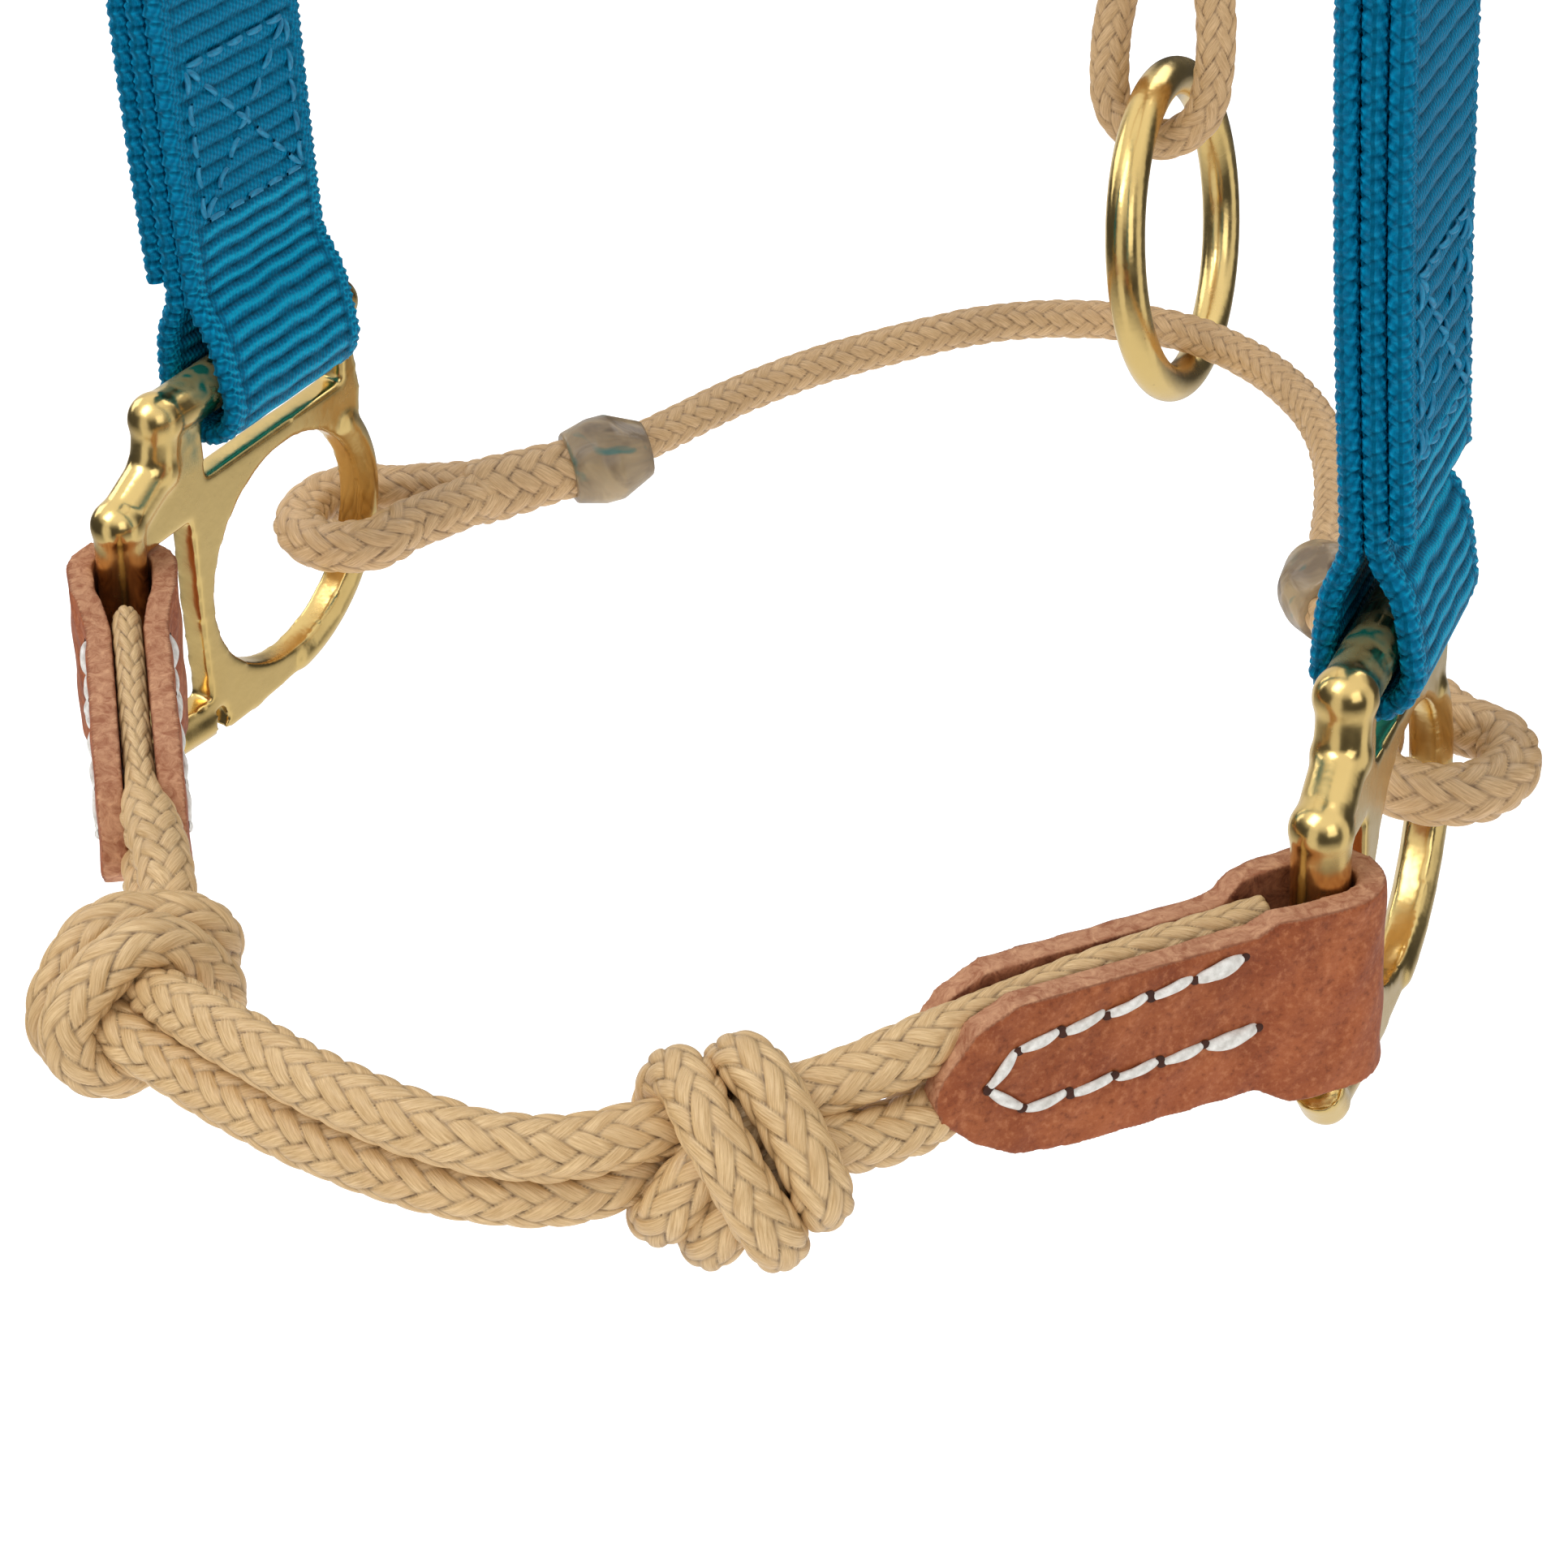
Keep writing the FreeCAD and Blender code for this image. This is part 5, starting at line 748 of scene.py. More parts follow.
def leather_material(name):
    """Grain side, flesh side and cut edge, chosen by the zone attribute."""
    graph = new_material(name)
    _, flesh_zone, edge_zone = graph.split(graph.attribute("zone"))
    burn, _, _ = graph.split(graph.attribute("burn"))
    coords = graph.coords()
    fine = graph.noise(coords, scale=1300.0, detail=4.0, rough=0.65)
    medium = graph.noise(coords, scale=160.0, detail=3.0, rough=0.6, distortion=0.6)
    coarse = graph.noise(coords, scale=45.0)
    cells = graph.node("ShaderNodeTexVoronoi", feature="F1")
    graph.put(cells.inputs["Vector"], coords)
    cells.inputs["Scale"].default_value = 2600.0
    grain = graph.mix(graph.ramp(medium, low=0.36, high=0.68),
                      srgb(134, 66, 34), srgb(164, 92, 52))
    for source, limits, tint, weight in (
            (coarse, (0.4, 0.7), srgb(178, 96, 58), 0.35),
            (fine, (0.52, 0.70), srgb(192, 124, 82), 0.55),
            (fine, (0.46, 0.32), srgb(104, 48, 24), 0.55)):
        grain = graph.mix(graph.ramp(source, *limits), grain, tint, weight=weight)
    fluff = graph.noise(coords, scale=420.0, detail=5.0, rough=0.7, distortion=1.2)
    flesh = graph.mix(graph.ramp(fluff, low=0.38, high=0.66),
                      srgb(96, 50, 32), srgb(158, 102, 72))
    fray = graph.noise(coords, scale=700.0, detail=4.0, rough=0.7, distortion=0.8)
    edge = graph.mix(graph.ramp(fray, low=0.35, high=0.68),
                     srgb(156, 100, 72), srgb(206, 156, 120))
    colour = graph.mix(flesh_zone, grain, flesh)
    colour = graph.mix(edge_zone, colour, edge)
    colour = graph.mix(burn, colour, srgb(92, 44, 26))
    # roughness: 0.46 on the grain, varied by 0.12, and 0.30 more on flesh and edge
    raw = graph.times(graph.math("MAXIMUM", flesh_zone, edge_zone), 0.30)
    roughness = graph.plus(raw, graph.plus(0.46, graph.times(medium, 0.12)))
    # relief: fluff on flesh and edge, pores and fine grain everywhere
    raw = graph.times(fluff, graph.math("MAXIMUM", flesh_zone, edge_zone))
    relief = graph.plus(raw, graph.times(cells.outputs["Distance"], 0.55))
    relief = graph.plus(graph.times(relief, 1.0), graph.times(fine, 0.35))
    graph.surface({
        "Base Color": colour,
        "Roughness": roughness,
        "Specular IOR Level": 0.22,
        "Normal": graph.bump(relief, strength=0.4, distance=0.00015),
    })
    return graph.material


def brass_graph(name):
    """Polished brass with dark specks. Returns the graph and its colour."""
    graph = new_material(name)
    coords = graph.coords()
    fine = graph.noise(coords, scale=260.0, detail=3.0, rough=0.6)
    broad = graph.noise(coords, scale=40.0, detail=3.0)
    colour = graph.mix(graph.ramp(broad, low=0.35, high=0.75),
                       [0.82, 0.60, 0.24, 1], [0.74, 0.52, 0.19, 1])
    speck = graph.noise(coords, scale=700.0, detail=4.0, rough=0.7)
    speck = graph.ramp(speck, low=0.68, high=0.80)
    colour = graph.mix(speck, colour, [0.28, 0.15, 0.05, 1], weight=0.5)
    # roughness from 0.17 up to 0.14 more
    roughness = graph.plus(0.17, graph.times(graph.ramp(fine, low=0.35, high=0.75), 0.14))
    dents = graph.plus(graph.times(fine, 0.6), graph.noise(coords, scale=75.0))
    graph.surface({
        "Base Color": colour,
        "Metallic": 1.0,
        "Roughness": roughness,
        "Normal": graph.bump(dents, strength=0.30, distance=0.00035),
    })
    return graph, colour


def casting_material(name):
    """Brass with green corrosion where the webbing sits. Limits in metres."""
    graph, brass = brass_graph(name)
    coords = graph.coords()
    _, y, z = graph.split(coords)
    base_y, base_z = float(ORIGIN[1]) * MM, float(ORIGIN[2]) * MM
    near_web = graph.times(graph.ramp(z, low=0.0020 + base_z, high=0.0050 + base_z),
                           graph.ramp(y, low=-0.007 + base_y, high=0.001 + base_y))
    patch = graph.ramp(graph.noise(coords, scale=260.0), low=0.46, high=0.66)
    corrosion = graph.times(near_web, patch)
    graph.surface({
        "Base Color": graph.mix(corrosion, brass, srgb(20, 92, 78)),
        "Metallic": graph.math("SUBTRACT", 1.0, corrosion),
    })
    return graph.material


def thread_material(name, light, dark):
    graph = new_material(name)
    along, around, _ = graph.split(graph.attribute("thread"))
    twist_along, twist_around = 2.6, 18.85  # rates of the twist in radians
    twist_weight = 0.10
    twist = graph.plus(graph.times(along, twist_along), graph.times(around, twist_around))
    twist = graph.math("SINE", twist)
    fuzz = graph.noise(graph.coords(), scale=1500.0, detail=3.0, rough=0.6)
    relief = graph.plus(graph.times(twist, twist_weight), fuzz)
    graph.surface({
        "Base Color": graph.mix(graph.ramp(relief, low=0.25, high=0.75), dark, light),
        "Roughness": 0.55,
        "Normal": graph.bump(relief, strength=0.25, distance=0.0001),
    })
    return graph.material


def clamp_material(name):
    """Mottled, slightly translucent, with brown and teal spots."""
    graph = new_material(name)
    coords = graph.coords()
    mottle = graph.noise(coords, scale=190.0, detail=3.0, rough=0.6, distortion=0.7)
    colour = graph.mix(graph.ramp(mottle, low=0.35, high=0.65),
                       srgb(118, 100, 78), srgb(168, 146, 112))
    brown = graph.noise(coords, scale=120.0, distortion=1.0)
    colour = graph.mix(graph.ramp(brown, low=0.60, high=0.68), colour,
                       srgb(58, 38, 28), weight=0.85)
    teal = graph.noise(coords, scale=101.0, distortion=1.5)
    colour = graph.mix(graph.ramp(teal, low=0.63, high=0.70), colour,
                       srgb(20, 110, 105), weight=0.7)
    graph.surface({
        "Base Color": colour,
        "Roughness": 0.30,
        "Subsurface Weight": 0.25,
        "Subsurface Radius": (1.0, 0.6, 0.35),
        "Subsurface Scale": 0.002,
        "Normal": graph.bump(mottle, strength=0.5, distance=0.0006),
    })
    return graph.material


# painted shade: dark brown dimples set at each stitch hole of the tabs
def hole_shade_material(name):
    graph = new_material(name)
    # a plain tone stays in the socket under the link
    graph.surface({"Base Color": srgb(52, 24, 14), "Roughness": 0.9})
    speckle = graph.noise(graph.coords(), scale=800.0)
    graph.surface({"Base Color": graph.mix(speckle, srgb(40, 18, 10), srgb(80, 40, 24))})
    return graph.material


# deep: the colour of the stains and of the painted shade in the gaps between strands
NOSE_ROPE = rope_material("nose_rope", light=srgb(236, 203, 152),
                          dark=srgb(190, 152, 100), deep=srgb(92, 62, 32))
CHIN_ROPE = rope_material("chin_rope", light=srgb(226, 190, 142),
                          dark=srgb(182, 144, 96), deep=srgb(96, 66, 38))
WEBBING = web_material("webbing")
LEATHER = leather_material("leather")
BRASS = brass_graph("brass")[0].material
CASTING = casting_material("brass_casting")
WHITE_THREAD = thread_material("thread_white", light=srgb(238, 236, 230),
                               dark=srgb(196, 192, 184))
BLUE_THREAD = thread_material("thread_blue", light=srgb(10, 150, 192), dark=srgb(0, 100, 140))
CLAMP = clamp_material("rope_clamp")
STITCH_HOLE_SHADE = hole_shade_material("stitch_hole")

# ---------------------------------------------------------------- noseband ropes
NOSE_RADIUS = 3.08
NOSE_TAB_RADIUS = 2.62  # inside the leather tabs
NOSE_KNOTS = np.array([[-31.0, -64.0, -16.0], [32.0, -61.5, -15.5]])


def nose_radius(distance, total, points):
    """Thinner round the knots and inside the tabs."""
    radius = np.full(len(points), NOSE_RADIUS)
    for knot in NOSE_KNOTS:
        away = np.linalg.norm(points - knot, axis=1)
        radius -= 0.20 * clip01(1 - np.abs(away - 4) / 12.0) ** 0.5
    past_tab = clip01((np.minimum(distance, total - distance) - 26) / 12.0)
    return NOSE_TAB_RADIUS + (radius - NOSE_TAB_RADIUS) * past_tab


def tab_coords(side, points):
    """Distances of points along, across and outward from a tab's origin."""
    offset = points - TAB[side][0]
    return [offset @ axis for axis in TAB[side][1:]]


def squeeze(along):
    """How far each ply of a tab is drawn in on to the ropes."""
    t = clip01((np.asarray(along, float) - 4.0) / 7.0)
    return 0.95 * t * t * (3 - 2 * t)


def flatten_in_tabs(part):
    """Press a rope flatter between the plies of both tabs."""
    points, quads, attributes = part
    for side in SIDES:
        along, _, outward = tab_coords(side, points)
        amount = 0.34 * clip01((41.0 - along) / 4.0) * clip01((along - 2.0) / 3.0)
        amount = amount * clip01((7.0 - np.abs(outward)) / 2.5)
        points = points - (amount * outward)[:, None] * TAB[side][3]
    return points, quads, attributes


for index, (node, points) in enumerate(
        (("nose_rope_upper", NOSE_UPPER), ("nose_rope_lower", NOSE_LOWER))):
    path = relax(resample(spline(points, 6), 0.30), 12)
    part = braid_tube(path, nose_radius, step=0.30, around=92, pitch=3.3, relief=0.50,
                      start=(0, 0, 1), capped=(True, True), seed=1.0 + 2 * index)
    piece = join_parts("noseband_" + node, [flatten_in_tabs(part)])
    finish_piece(piece, NOSE_ROPE, "noseband", "nose_rope", node)


# ---------------------------------------------------------------- chin, jaw and throat ropes
def eyes_and_necks(eyes, necks, radius, neck_radii, seed, around=72, step=0.34,
                   pinch=0.0, hug=5.0):
    """Rope eyes and the tapered necks behind them.

    pinch narrows an eye from 2 * hug behind its tip.
    """
    braid = {"step": step, "pitch": 3.0, "relief": 0.45}
    parts = []
    for n, eye in enumerate(eyes):
        path = spline(eye, 5)
        tip = eye[len(eye) // 2]
        axis = unit((eye[0] + eye[-1]) / 2 - tip)
        along = (path - tip) @ axis
        offset = path - tip - along[:, None] * axis
        narrow = 1 - pinch * clip01((along - 2 * hug) / (1.1 * hug))
        path = tip + along[:, None] * axis + offset * narrow[:, None]
        path = relax(resample(path, step), 12)
        parts.append(braid_tube(path, radius, around=around, seed=seed + 2 * n, **braid))

    def taper(distance, total, points):
        first, last = neck_radii
        mouth = np.sqrt(np.clip(1 - clip01(1 - distance / 3.0) ** 2, 0.35, 1))
        return (first + (last - first) * clip01(distance / total)) * mouth

    overlap = 2.6  # the neck starts this far back over the eye
    for n, (start, end) in enumerate(necks):
        start, end = np.array(start, float), np.array(end, float)
        axis = unit(end - start)
        length = np.linalg.norm(end - start) + overlap
        path = np.array([start - axis * overlap + axis * length * t
                         for t in np.linspace(0, 1, 12)])
        parts.append(braid_tube(path, taper, around=around + 8, capped=(True, False),
                                seed=seed + 5 + n, **braid))
    return parts


parts = []
for side, seed in zip(SIDES, (3.0, 9.0)):
    parts += eyes_and_necks([CHIN_EYES[side]], [CHIN_NECKS[side]], radius=3.42,
                            neck_radii=(4.5, 3.7), seed=seed, pinch=0.40, hug=4.4)
path = relax(resample(spline(CHIN_PATH, 5), 0.34), 10)
parts.append(braid_tube(path, 2.68, step=0.34, around=80, pitch=2.7, relief=0.40,
                        start=(0, 0, 1), seed=2.2))
piece = join_parts("chin_strap_rope", parts)
finish_piece(piece, CHIN_ROPE, "chin_strap", "chin_rope", "chin_rope")

parts = eyes_and_necks(JAW_EYES, JAW_NECKS, radius=2.70, neck_radii=(4.1, 3.3), seed=4.0)
parts.append(braid_tube(resample(JAW_ROD, 0.4), 2.9, step=0.4, around=72, pitch=2.9,
                        relief=0.40, seed=6.1))
piece = join_parts("jaw_rope_braid", parts)
finish_piece(piece, CHIN_ROPE, "jaw_rope", "chin_rope", "jaw_rope")

parts = eyes_and_necks(THROAT_EYES, THROAT_NECKS, radius=2.9, neck_radii=(4.3, 3.3),
                       seed=8.0, around=60, step=0.42)
parts.append(braid_tube(resample(spline(THROAT_PATH, 4), 0.42), 2.9, step=0.42, around=64,
                        pitch=2.9, relief=0.40, seed=7.4))
piece = join_parts("throat_rope_braid", parts)
finish_piece(piece, CHIN_ROPE, "crown", "chin_rope", "throat_rope")

# ---------------------------------------------------------------- webbing
WEB_WIDTH = 25.4
WEB_THICK = 2.4
RIB_RELIEF = 0.42
EDGE_RADIUS = 1.0  # rounded selvedge
FACE_POINTS = 46  # points across each face
EDGE_ANGLES = np.linspace(90, -90, 9)[1:-1]


def web_section():
    """Rows round the tape: across, side (+1 to -1), 1 on the selvedge."""
    flat = WEB_WIDTH / 2 - EDGE_RADIUS
    face = np.linspace(-flat, flat, FACE_POINTS)
    edge = [(flat + EDGE_RADIUS * math.cos(math.radians(a)), math.sin(math.radians(a)), 1)
            for a in EDGE_ANGLES]
    return np.array([(x, 1.0, 0) for x in face] + edge
                    + [(x, -1.0, 0) for x in face[::-1]]
                    + [(-x, -z, 1) for x, z, _ in edge])


def web_part(stations, step, seed, highlight_below=-math.inf):
    """Ribbed tape along rows of centre and width direction. highlight_below: a height Z; below
    it the rib tops get a painted highlight and the grooves deeper painted shade.
    """
    stations = resample(spline(stations, 6), step)
    centre, width = stations[:, :3], stations[:, 3:]
    tangent = np.gradient(centre, axis=0)
    tangent /= np.linalg.norm(tangent, axis=1)[:, None]
    width = width - tangent * (width * tangent).sum(1)[:, None]
    width /= np.linalg.norm(width, axis=1)[:, None]
    normal = np.cross(tangent, width)
    section = web_section()
    rows, columns = len(centre), len(section)
    along = arc_lengths(centre)[:, None] + 0 * section[None, :, 0]
    across, face, edge = (section[None, :, k] + 0 * along for k in range(3))
    wiggle = 0.12 * np.sin(across * 0.9 + seed) + 0.06 * np.sin(along * 0.35 + across * 0.4)
    phase = (along + wiggle) / RIB_PITCH
    rib = np.abs(np.sin(np.pi * phase)) ** 0.8
    # a band along each selvedge where the ribs turn over, with a groove beside it
    off_centre = np.abs(across)
    band = clip01((off_centre - (WEB_WIDTH / 2 - 2.6)) / 0.5)
    turn = 0.35 * (off_centre - WEB_WIDTH / 2 + 2.6)
    band_rib = np.abs(np.sin(np.pi * (2 * phase + turn))) ** 0.7
    height = rib * (1 - band) + band * (0.25 + 0.75 * band_rib)
    groove = np.exp(-((off_centre - (WEB_WIDTH / 2 - 2.75)) / 0.28) ** 2)
    height = height * (1 - 0.55 * groove)
    # selvedge: two rows of loops, half a loop apart
    row_shift = np.where(face > 0, 0.0, 0.5)
    loop = np.abs(np.sin(np.pi * (2 * phase + row_shift))) ** 0.8
    edge_height = 0.15 + 0.85 * loop * (0.55 + 0.45 * np.abs(face))
    height = np.where(edge > 0.5, edge_height, height)
    sink = RIB_RELIEF * (1 - height) * np.minimum(np.abs(face) * 1.3, 1)
    out = face * (WEB_THICK / 2) - np.sign(face) * sink
    bulge = np.where(edge > 0.5, 0.42 * (loop - 0.45) * (1 - face ** 2 * 0.35), 0.0)
    near_edge = clip01((off_centre - (WEB_WIDTH / 2 - 3)) / 3)
    scallop = 0.20 * np.cos(2 * np.pi * phase) * near_edge
    sideways = across + np.sign(across) * (bulge + scallop - 0.10 * edge)
    points = (centre[:, None, :] + sideways[..., None] * width[:, None, :]
              + out[..., None] * normal[:, None, :])
    # the zone below the given height, for the painted highlight on the rib tops and the deeper
    # painted shade in the grooves
    highlight_zone = clip01((highlight_below - centre[:, 2]) / 2.0)[:, None] + 0 * edge
    quads = [grid_faces(rows, columns, wrap=True)]
    # close both cut ends between the two faces
    for row in (0, rows - 1):
        top = row * columns + np.arange(FACE_POINTS)
        bottom = (row * columns + FACE_POINTS + len(EDGE_ANGLES)
                  + np.arange(FACE_POINTS)[::-1])
        cap = np.stack([top[:-1], top[1:], bottom[1:], bottom[:-1]], -1)
        quads.append(cap if row else cap[:, ::-1])
    # the back face has its own span of texture coordinates, 40 mm on
    return points.reshape(-1, 3), np.concatenate(quads), {
        "web": np.stack([across + 40 * (face < 0), along, 1 - edge], -1).reshape(-1, 3),
        "tint": np.stack([height, edge, highlight_zone], -1).reshape(-1, 3),
    }


def upright_stations(profile):
    """Stations of tape whose width lies along Y, from rows of X, Z."""
    x, z = profile.T
    zero = 0 * x
    return np.stack([x, zero + STRAP_Y, z, zero, zero + 1, zero], 1)


def drop_faces(part, is_cut):
    points, quads, attributes = part
    return points, quads[~is_cut(points[quads].mean(1))], attributes


def in_eyelet(centres):
    cut = np.zeros(len(centres), bool)
    for hole, axis in CROWN_HOLES:
        axis = unit(axis)
        offset = centres - np.array(hole)
        depth = offset @ axis
        radius = np.linalg.norm(offset - depth[:, None] * axis, axis=1)
        cut |= (np.abs(depth) < 2.6) & (radius < 3.4)
    return cut


def in_tongue_slot(centres):
    z = centres[:, 2]
    return (np.abs(centres[:, 1] - STRAP_Y) < 5.1) & (z > 273.6) & (z < 283.0)


def point_tip(points):
    """Draw the free end of the crown webbing to a point."""
    points = points.copy()
    tip_z, tip_length = 231.0, 7.5
    limit = tip_z + np.abs(points[:, 1] - STRAP_Y) * (tip_length / (WEB_WIDTH / 2))
    cut = (points[:, 0] > 64.0) & (points[:, 2] < 243) & (points[:, 2] < limit)
    points[cut, 2] = limit[cut]
    return points


for side, seed in zip(SIDES, (1.0, 2.0)):
    stations = np.hstack(CHEEK[side])
    # the loop sits down in its slot
    stations[:, 2] -= 1.3 * clip01((15.0 - stations[:, 2]) / 7.0)
    # the loops round the casting bars, below Z 31, get the painted highlight and deeper
    # painted shade
    part = web_part(stations, step=0.42, seed=seed, highlight_below=31.0)
    piece = join_parts("cheek_webbing_" + side, [part])
    finish_piece(piece, WEBBING, side + "_cheek", "webbing", "cheek_strap_" + side)

part = web_part(upright_stations(CROWN_PATH), step=0.5, seed=3.0)
points, quads, attributes = drop_faces(part, in_eyelet)
points = point_tip(points)
a, b, c = (points[quads[:, k]] for k in range(3))
area = np.linalg.norm(np.cross(b - a, c - a), axis=1)
piece = join_parts("crown_webbing", [(points, quads[area > 1e-5], attributes)])
finish_piece(piece, WEBBING, "crown", "webbing", "crown_strap")

part = web_part(upright_stations(BUCKLE_PATH), step=0.5, seed=4.0)
piece = join_parts("buckle_webbing", [drop_faces(part, in_tongue_slot)])
finish_piece(piece, WEBBING, "crown", "webbing", "buckle_strap")


# ---------------------------------------------------------------- thread
def stitch_ends(node):
    """End points of every straight stitch in a CAD node, in mm."""
    source = NODES[node]
    mesh = source.data
    coords = np.empty(len(mesh.vertices) * 3)
    mesh.vertices.foreach_get("co", coords)
    world = source.matrix_world
    coords = coords.reshape(-1, 3) @ np.array(world.to_3x3()).T + np.array(world.translation)
    coords = coords / MM - ORIGIN
    _, merged = np.unique(np.round(coords, 3), axis=0, return_inverse=True)
    merged = merged.ravel()
    parent = np.arange(merged.max() + 1)

    def find(item):
        while parent[item] != item:
            parent[item] = parent[parent[item]]
            item = parent[item]
        return item

    for polygon in mesh.polygons:
        first, *others = [merged[i] for i in polygon.vertices]
        root = find(first)
        for other in others:
            other_root = find(other)
            if other_root != root:
                parent[other_root] = root
    roots = np.array([find(item) for item in range(len(parent))])[merged]
    ends = []
    for root in np.unique(roots):
        cluster = coords[roots == root]
        middle = cluster.mean(0)
        _, _, axes = np.linalg.svd(cluster - middle, full_matrices=False)
        along = (cluster - middle) @ axes[0]
        ends.append((middle + axes[0] * along.min(), middle + axes[0] * along.max()))
    return ends


def stitch_part(start, end, radius, lift, up, seed, bulge=1.0, around=14):
    """A short twisted thread that dives at each end."""
    up = unit(up)
    t = np.linspace(0, 1, 22)
    arch = np.sin(np.pi * t) ** 0.45
    rise = lift * arch - radius * 0.9 * (1 - arch)
    path = start + (end - start) * t[:, None] + up * rise[:, None]
    _, normal, binormal = path_frames(path, up)
    t, angle = np.meshgrid(t, np.linspace(0, 2 * np.pi, around + 1), indexing="ij")
    length = np.linalg.norm(end - start)
    profile = 0.55 + 0.45 * np.sin(np.pi * t) ** 0.6
    profile = profile * (1 + 0.22 * (bulge - 1) * np.sin(np.pi * t))
    wobble = (1 + 0.07 * np.sin(angle * 2 + t * length * 1.6 + seed)
              + 0.04 * np.sin(angle * 3 - t * 5 + seed * 2))
    ring = (0.78 * np.cos(angle)[..., None] * normal[:, None, :]
            + 1.12 * np.sin(angle)[..., None] * binormal[:, None, :])
    points = path[:, None, :] + (radius * profile * wobble)[..., None] * ring
    thread = np.stack([t * length, angle / (2 * np.pi), 0 * t], -1)
    return points.reshape(-1, 3), grid_faces(*t.shape), {"thread": thread.reshape(-1, 3)}


def unit_sphere(bands):
    polar, turn = np.meshgrid(np.linspace(0, np.pi, bands + 1),
                              np.linspace(0, 2 * np.pi, 2 * bands + 1), indexing="ij")
    points = np.stack([np.sin(polar) * np.cos(turn), np.sin(polar) * np.sin(turn),
                       np.cos(polar)], -1)
    return points.reshape(-1, 3), grid_faces(*polar.shape)


# seam of a tab: (along, across) points, up one edge, round the tip and back
SEAM_ACROSS = 15.0  # from the seam's zero to the tab's origin, across the tab
SEAM = np.array([(11.3 + 4.5 * k, -8.4 - 0.56 * k) for k in range(6)]
                + [(36.9, -14.7)]
                + [(33.4 - 4.7 * k, -17.9 + 0.26 * k) for k in range(6)])
PLY_INNER = 2.7  # from the middle of the tab to the inside of a ply
PLY_THICK = 2.9


def tab_point(side, seam_point, outward):
    origin, along_axis, across_axis, outward_axis = TAB[side]
    along, across = seam_point
    return (origin + along_axis * along + across_axis * (across + SEAM_ACROSS)
            + outward_axis * outward)


for side in SIDES:
    _, along_axis, across_axis, outward_axis = TAB[side]
    sphere, sphere_quads = unit_sphere(8)
    dimple = (sphere[:, :1] * along_axis * 0.55, sphere[:, 1:2] * across_axis * 0.48,
              sphere[:, 2:3] * outward_axis * 0.16)
    parts, hole_shades = [], []
    last = len(SEAM) - 2
    for n, (start, end) in enumerate(zip(SEAM[:-1].copy(), SEAM[1:].copy())):
        # the first and last stitches are thicker and set back 0.9 mm
        is_end = n in (0, last)
        if n == 0:
            start[0] -= 0.9
        if n == last:
            end[0] -= 0.9
        slant = 0.0 if n in (5, 6) else 0.24 if n < 6 else -0.24
        for sign in (1, -1):
            surface = PLY_INNER + PLY_THICK + 0.02
            p = tab_point(side, start * 0.97 + end * 0.03 + (0, slant),
                          sign * (surface - float(squeeze(start[0]))))
            q = tab_point(side, start * 0.03 + end * 0.97 - (0, slant),
                          sign * (surface - float(squeeze(end[0]))))
            parts.append(stitch_part(p, q, radius=0.70 if is_end else 0.50, lift=0.12,
                                     up=outward_axis * sign, seed=n * 1.3 + sign,
                                     bulge=1.5 if is_end else 1.0))
            # a dark dimple of painted shade at each stitch hole
            for point in ((p, q) if n % 2 == 0 else (q,)):
                hole = point - outward_axis * sign * 0.05 + dimple[0] + dimple[1] + dimple[2]
                hole_shades.append((hole, sphere_quads, {}))
    piece = join_parts("tab_stitches_" + side, parts)
    finish_piece(piece, WHITE_THREAD, "noseband", "thread_white", "nose_tab_stitching_" + side)
    piece = join_parts("tab_stitch_holes_" + side, hole_shades)
    finish_piece(piece, STITCH_HOLE_SHADE, "noseband", "leather")

for node, body in (("cheek_stitching_left", "left_cheek"),
                   ("cheek_stitching_right", "right_cheek"),
                   ("crown_stitching", "crown"), ("buckle_stitching", "crown")):
    stitches = stitch_ends(node)
    centre = np.mean([(p + q) / 2 for p, q in stitches], axis=0)
    parts = []
    for n, (p, q) in enumerate(stitches):
        facing = 1.0 if (p[0] + q[0]) / 2 > centre[0] else -1.0
        parts.append(stitch_part(p, q, radius=0.36, lift=0.10, up=(facing, 0, 0),
                                 seed=n * 0.7, around=8))
    piece = join_parts(node + "_thread", parts)
    finish_piece(piece, BLUE_THREAD, body, "thread_blue", node)


# ---------------------------------------------------------------- leather
def add_remesh(piece, voxel, passes, smooth_shade=False):
    """Weld, remesh and smooth. voxel in metres."""
    weld = piece.modifiers.new("weld", "WELD")
    weld.merge_threshold = 1e-6
    remesh = piece.modifiers.new("remesh", "REMESH")
    remesh.mode = "VOXEL"
    remesh.voxel_size = voxel
    remesh.use_smooth_shade = smooth_shade
    smooth = piece.modifiers.new("smooth", "SMOOTH")
    smooth.factor = 0.5
    smooth.iterations = passes


def remeshed_copy(node, name, voxel, passes):
    """Copy of a CAD node with the remesh applied. Returns object, points in mm, normals."""
    source = NODES[node]
    mesh = source.data.copy()
    mesh.transform(source.matrix_world)
    piece = bpy.data.objects.new(name, mesh)
    bpy.context.collection.objects.link(piece)
    add_remesh(piece, voxel, passes)
    depsgraph = bpy.context.evaluated_depsgraph_get()
    mesh = bpy.data.meshes.new_from_object(piece.evaluated_get(depsgraph))
    piece.modifiers.clear()
    piece.data = mesh
    mesh.polygons.foreach_set("use_smooth", np.ones(len(mesh.polygons), bool))
    points = np.empty(len(mesh.vertices) * 3)
    normals = np.empty_like(points)
    mesh.vertices.foreach_get("co", points)
    mesh.vertices.foreach_get("normal", normals)
    return piece, points.reshape(-1, 3) / MM - ORIGIN, normals.reshape(-1, 3)


def put_zones(piece, flesh, edge, burn):
    put_attribute(piece.data, "zone", np.stack([1 - flesh, flesh, edge], 1))
    put_attribute(piece.data, "burn", np.stack([burn, burn, burn], 1))


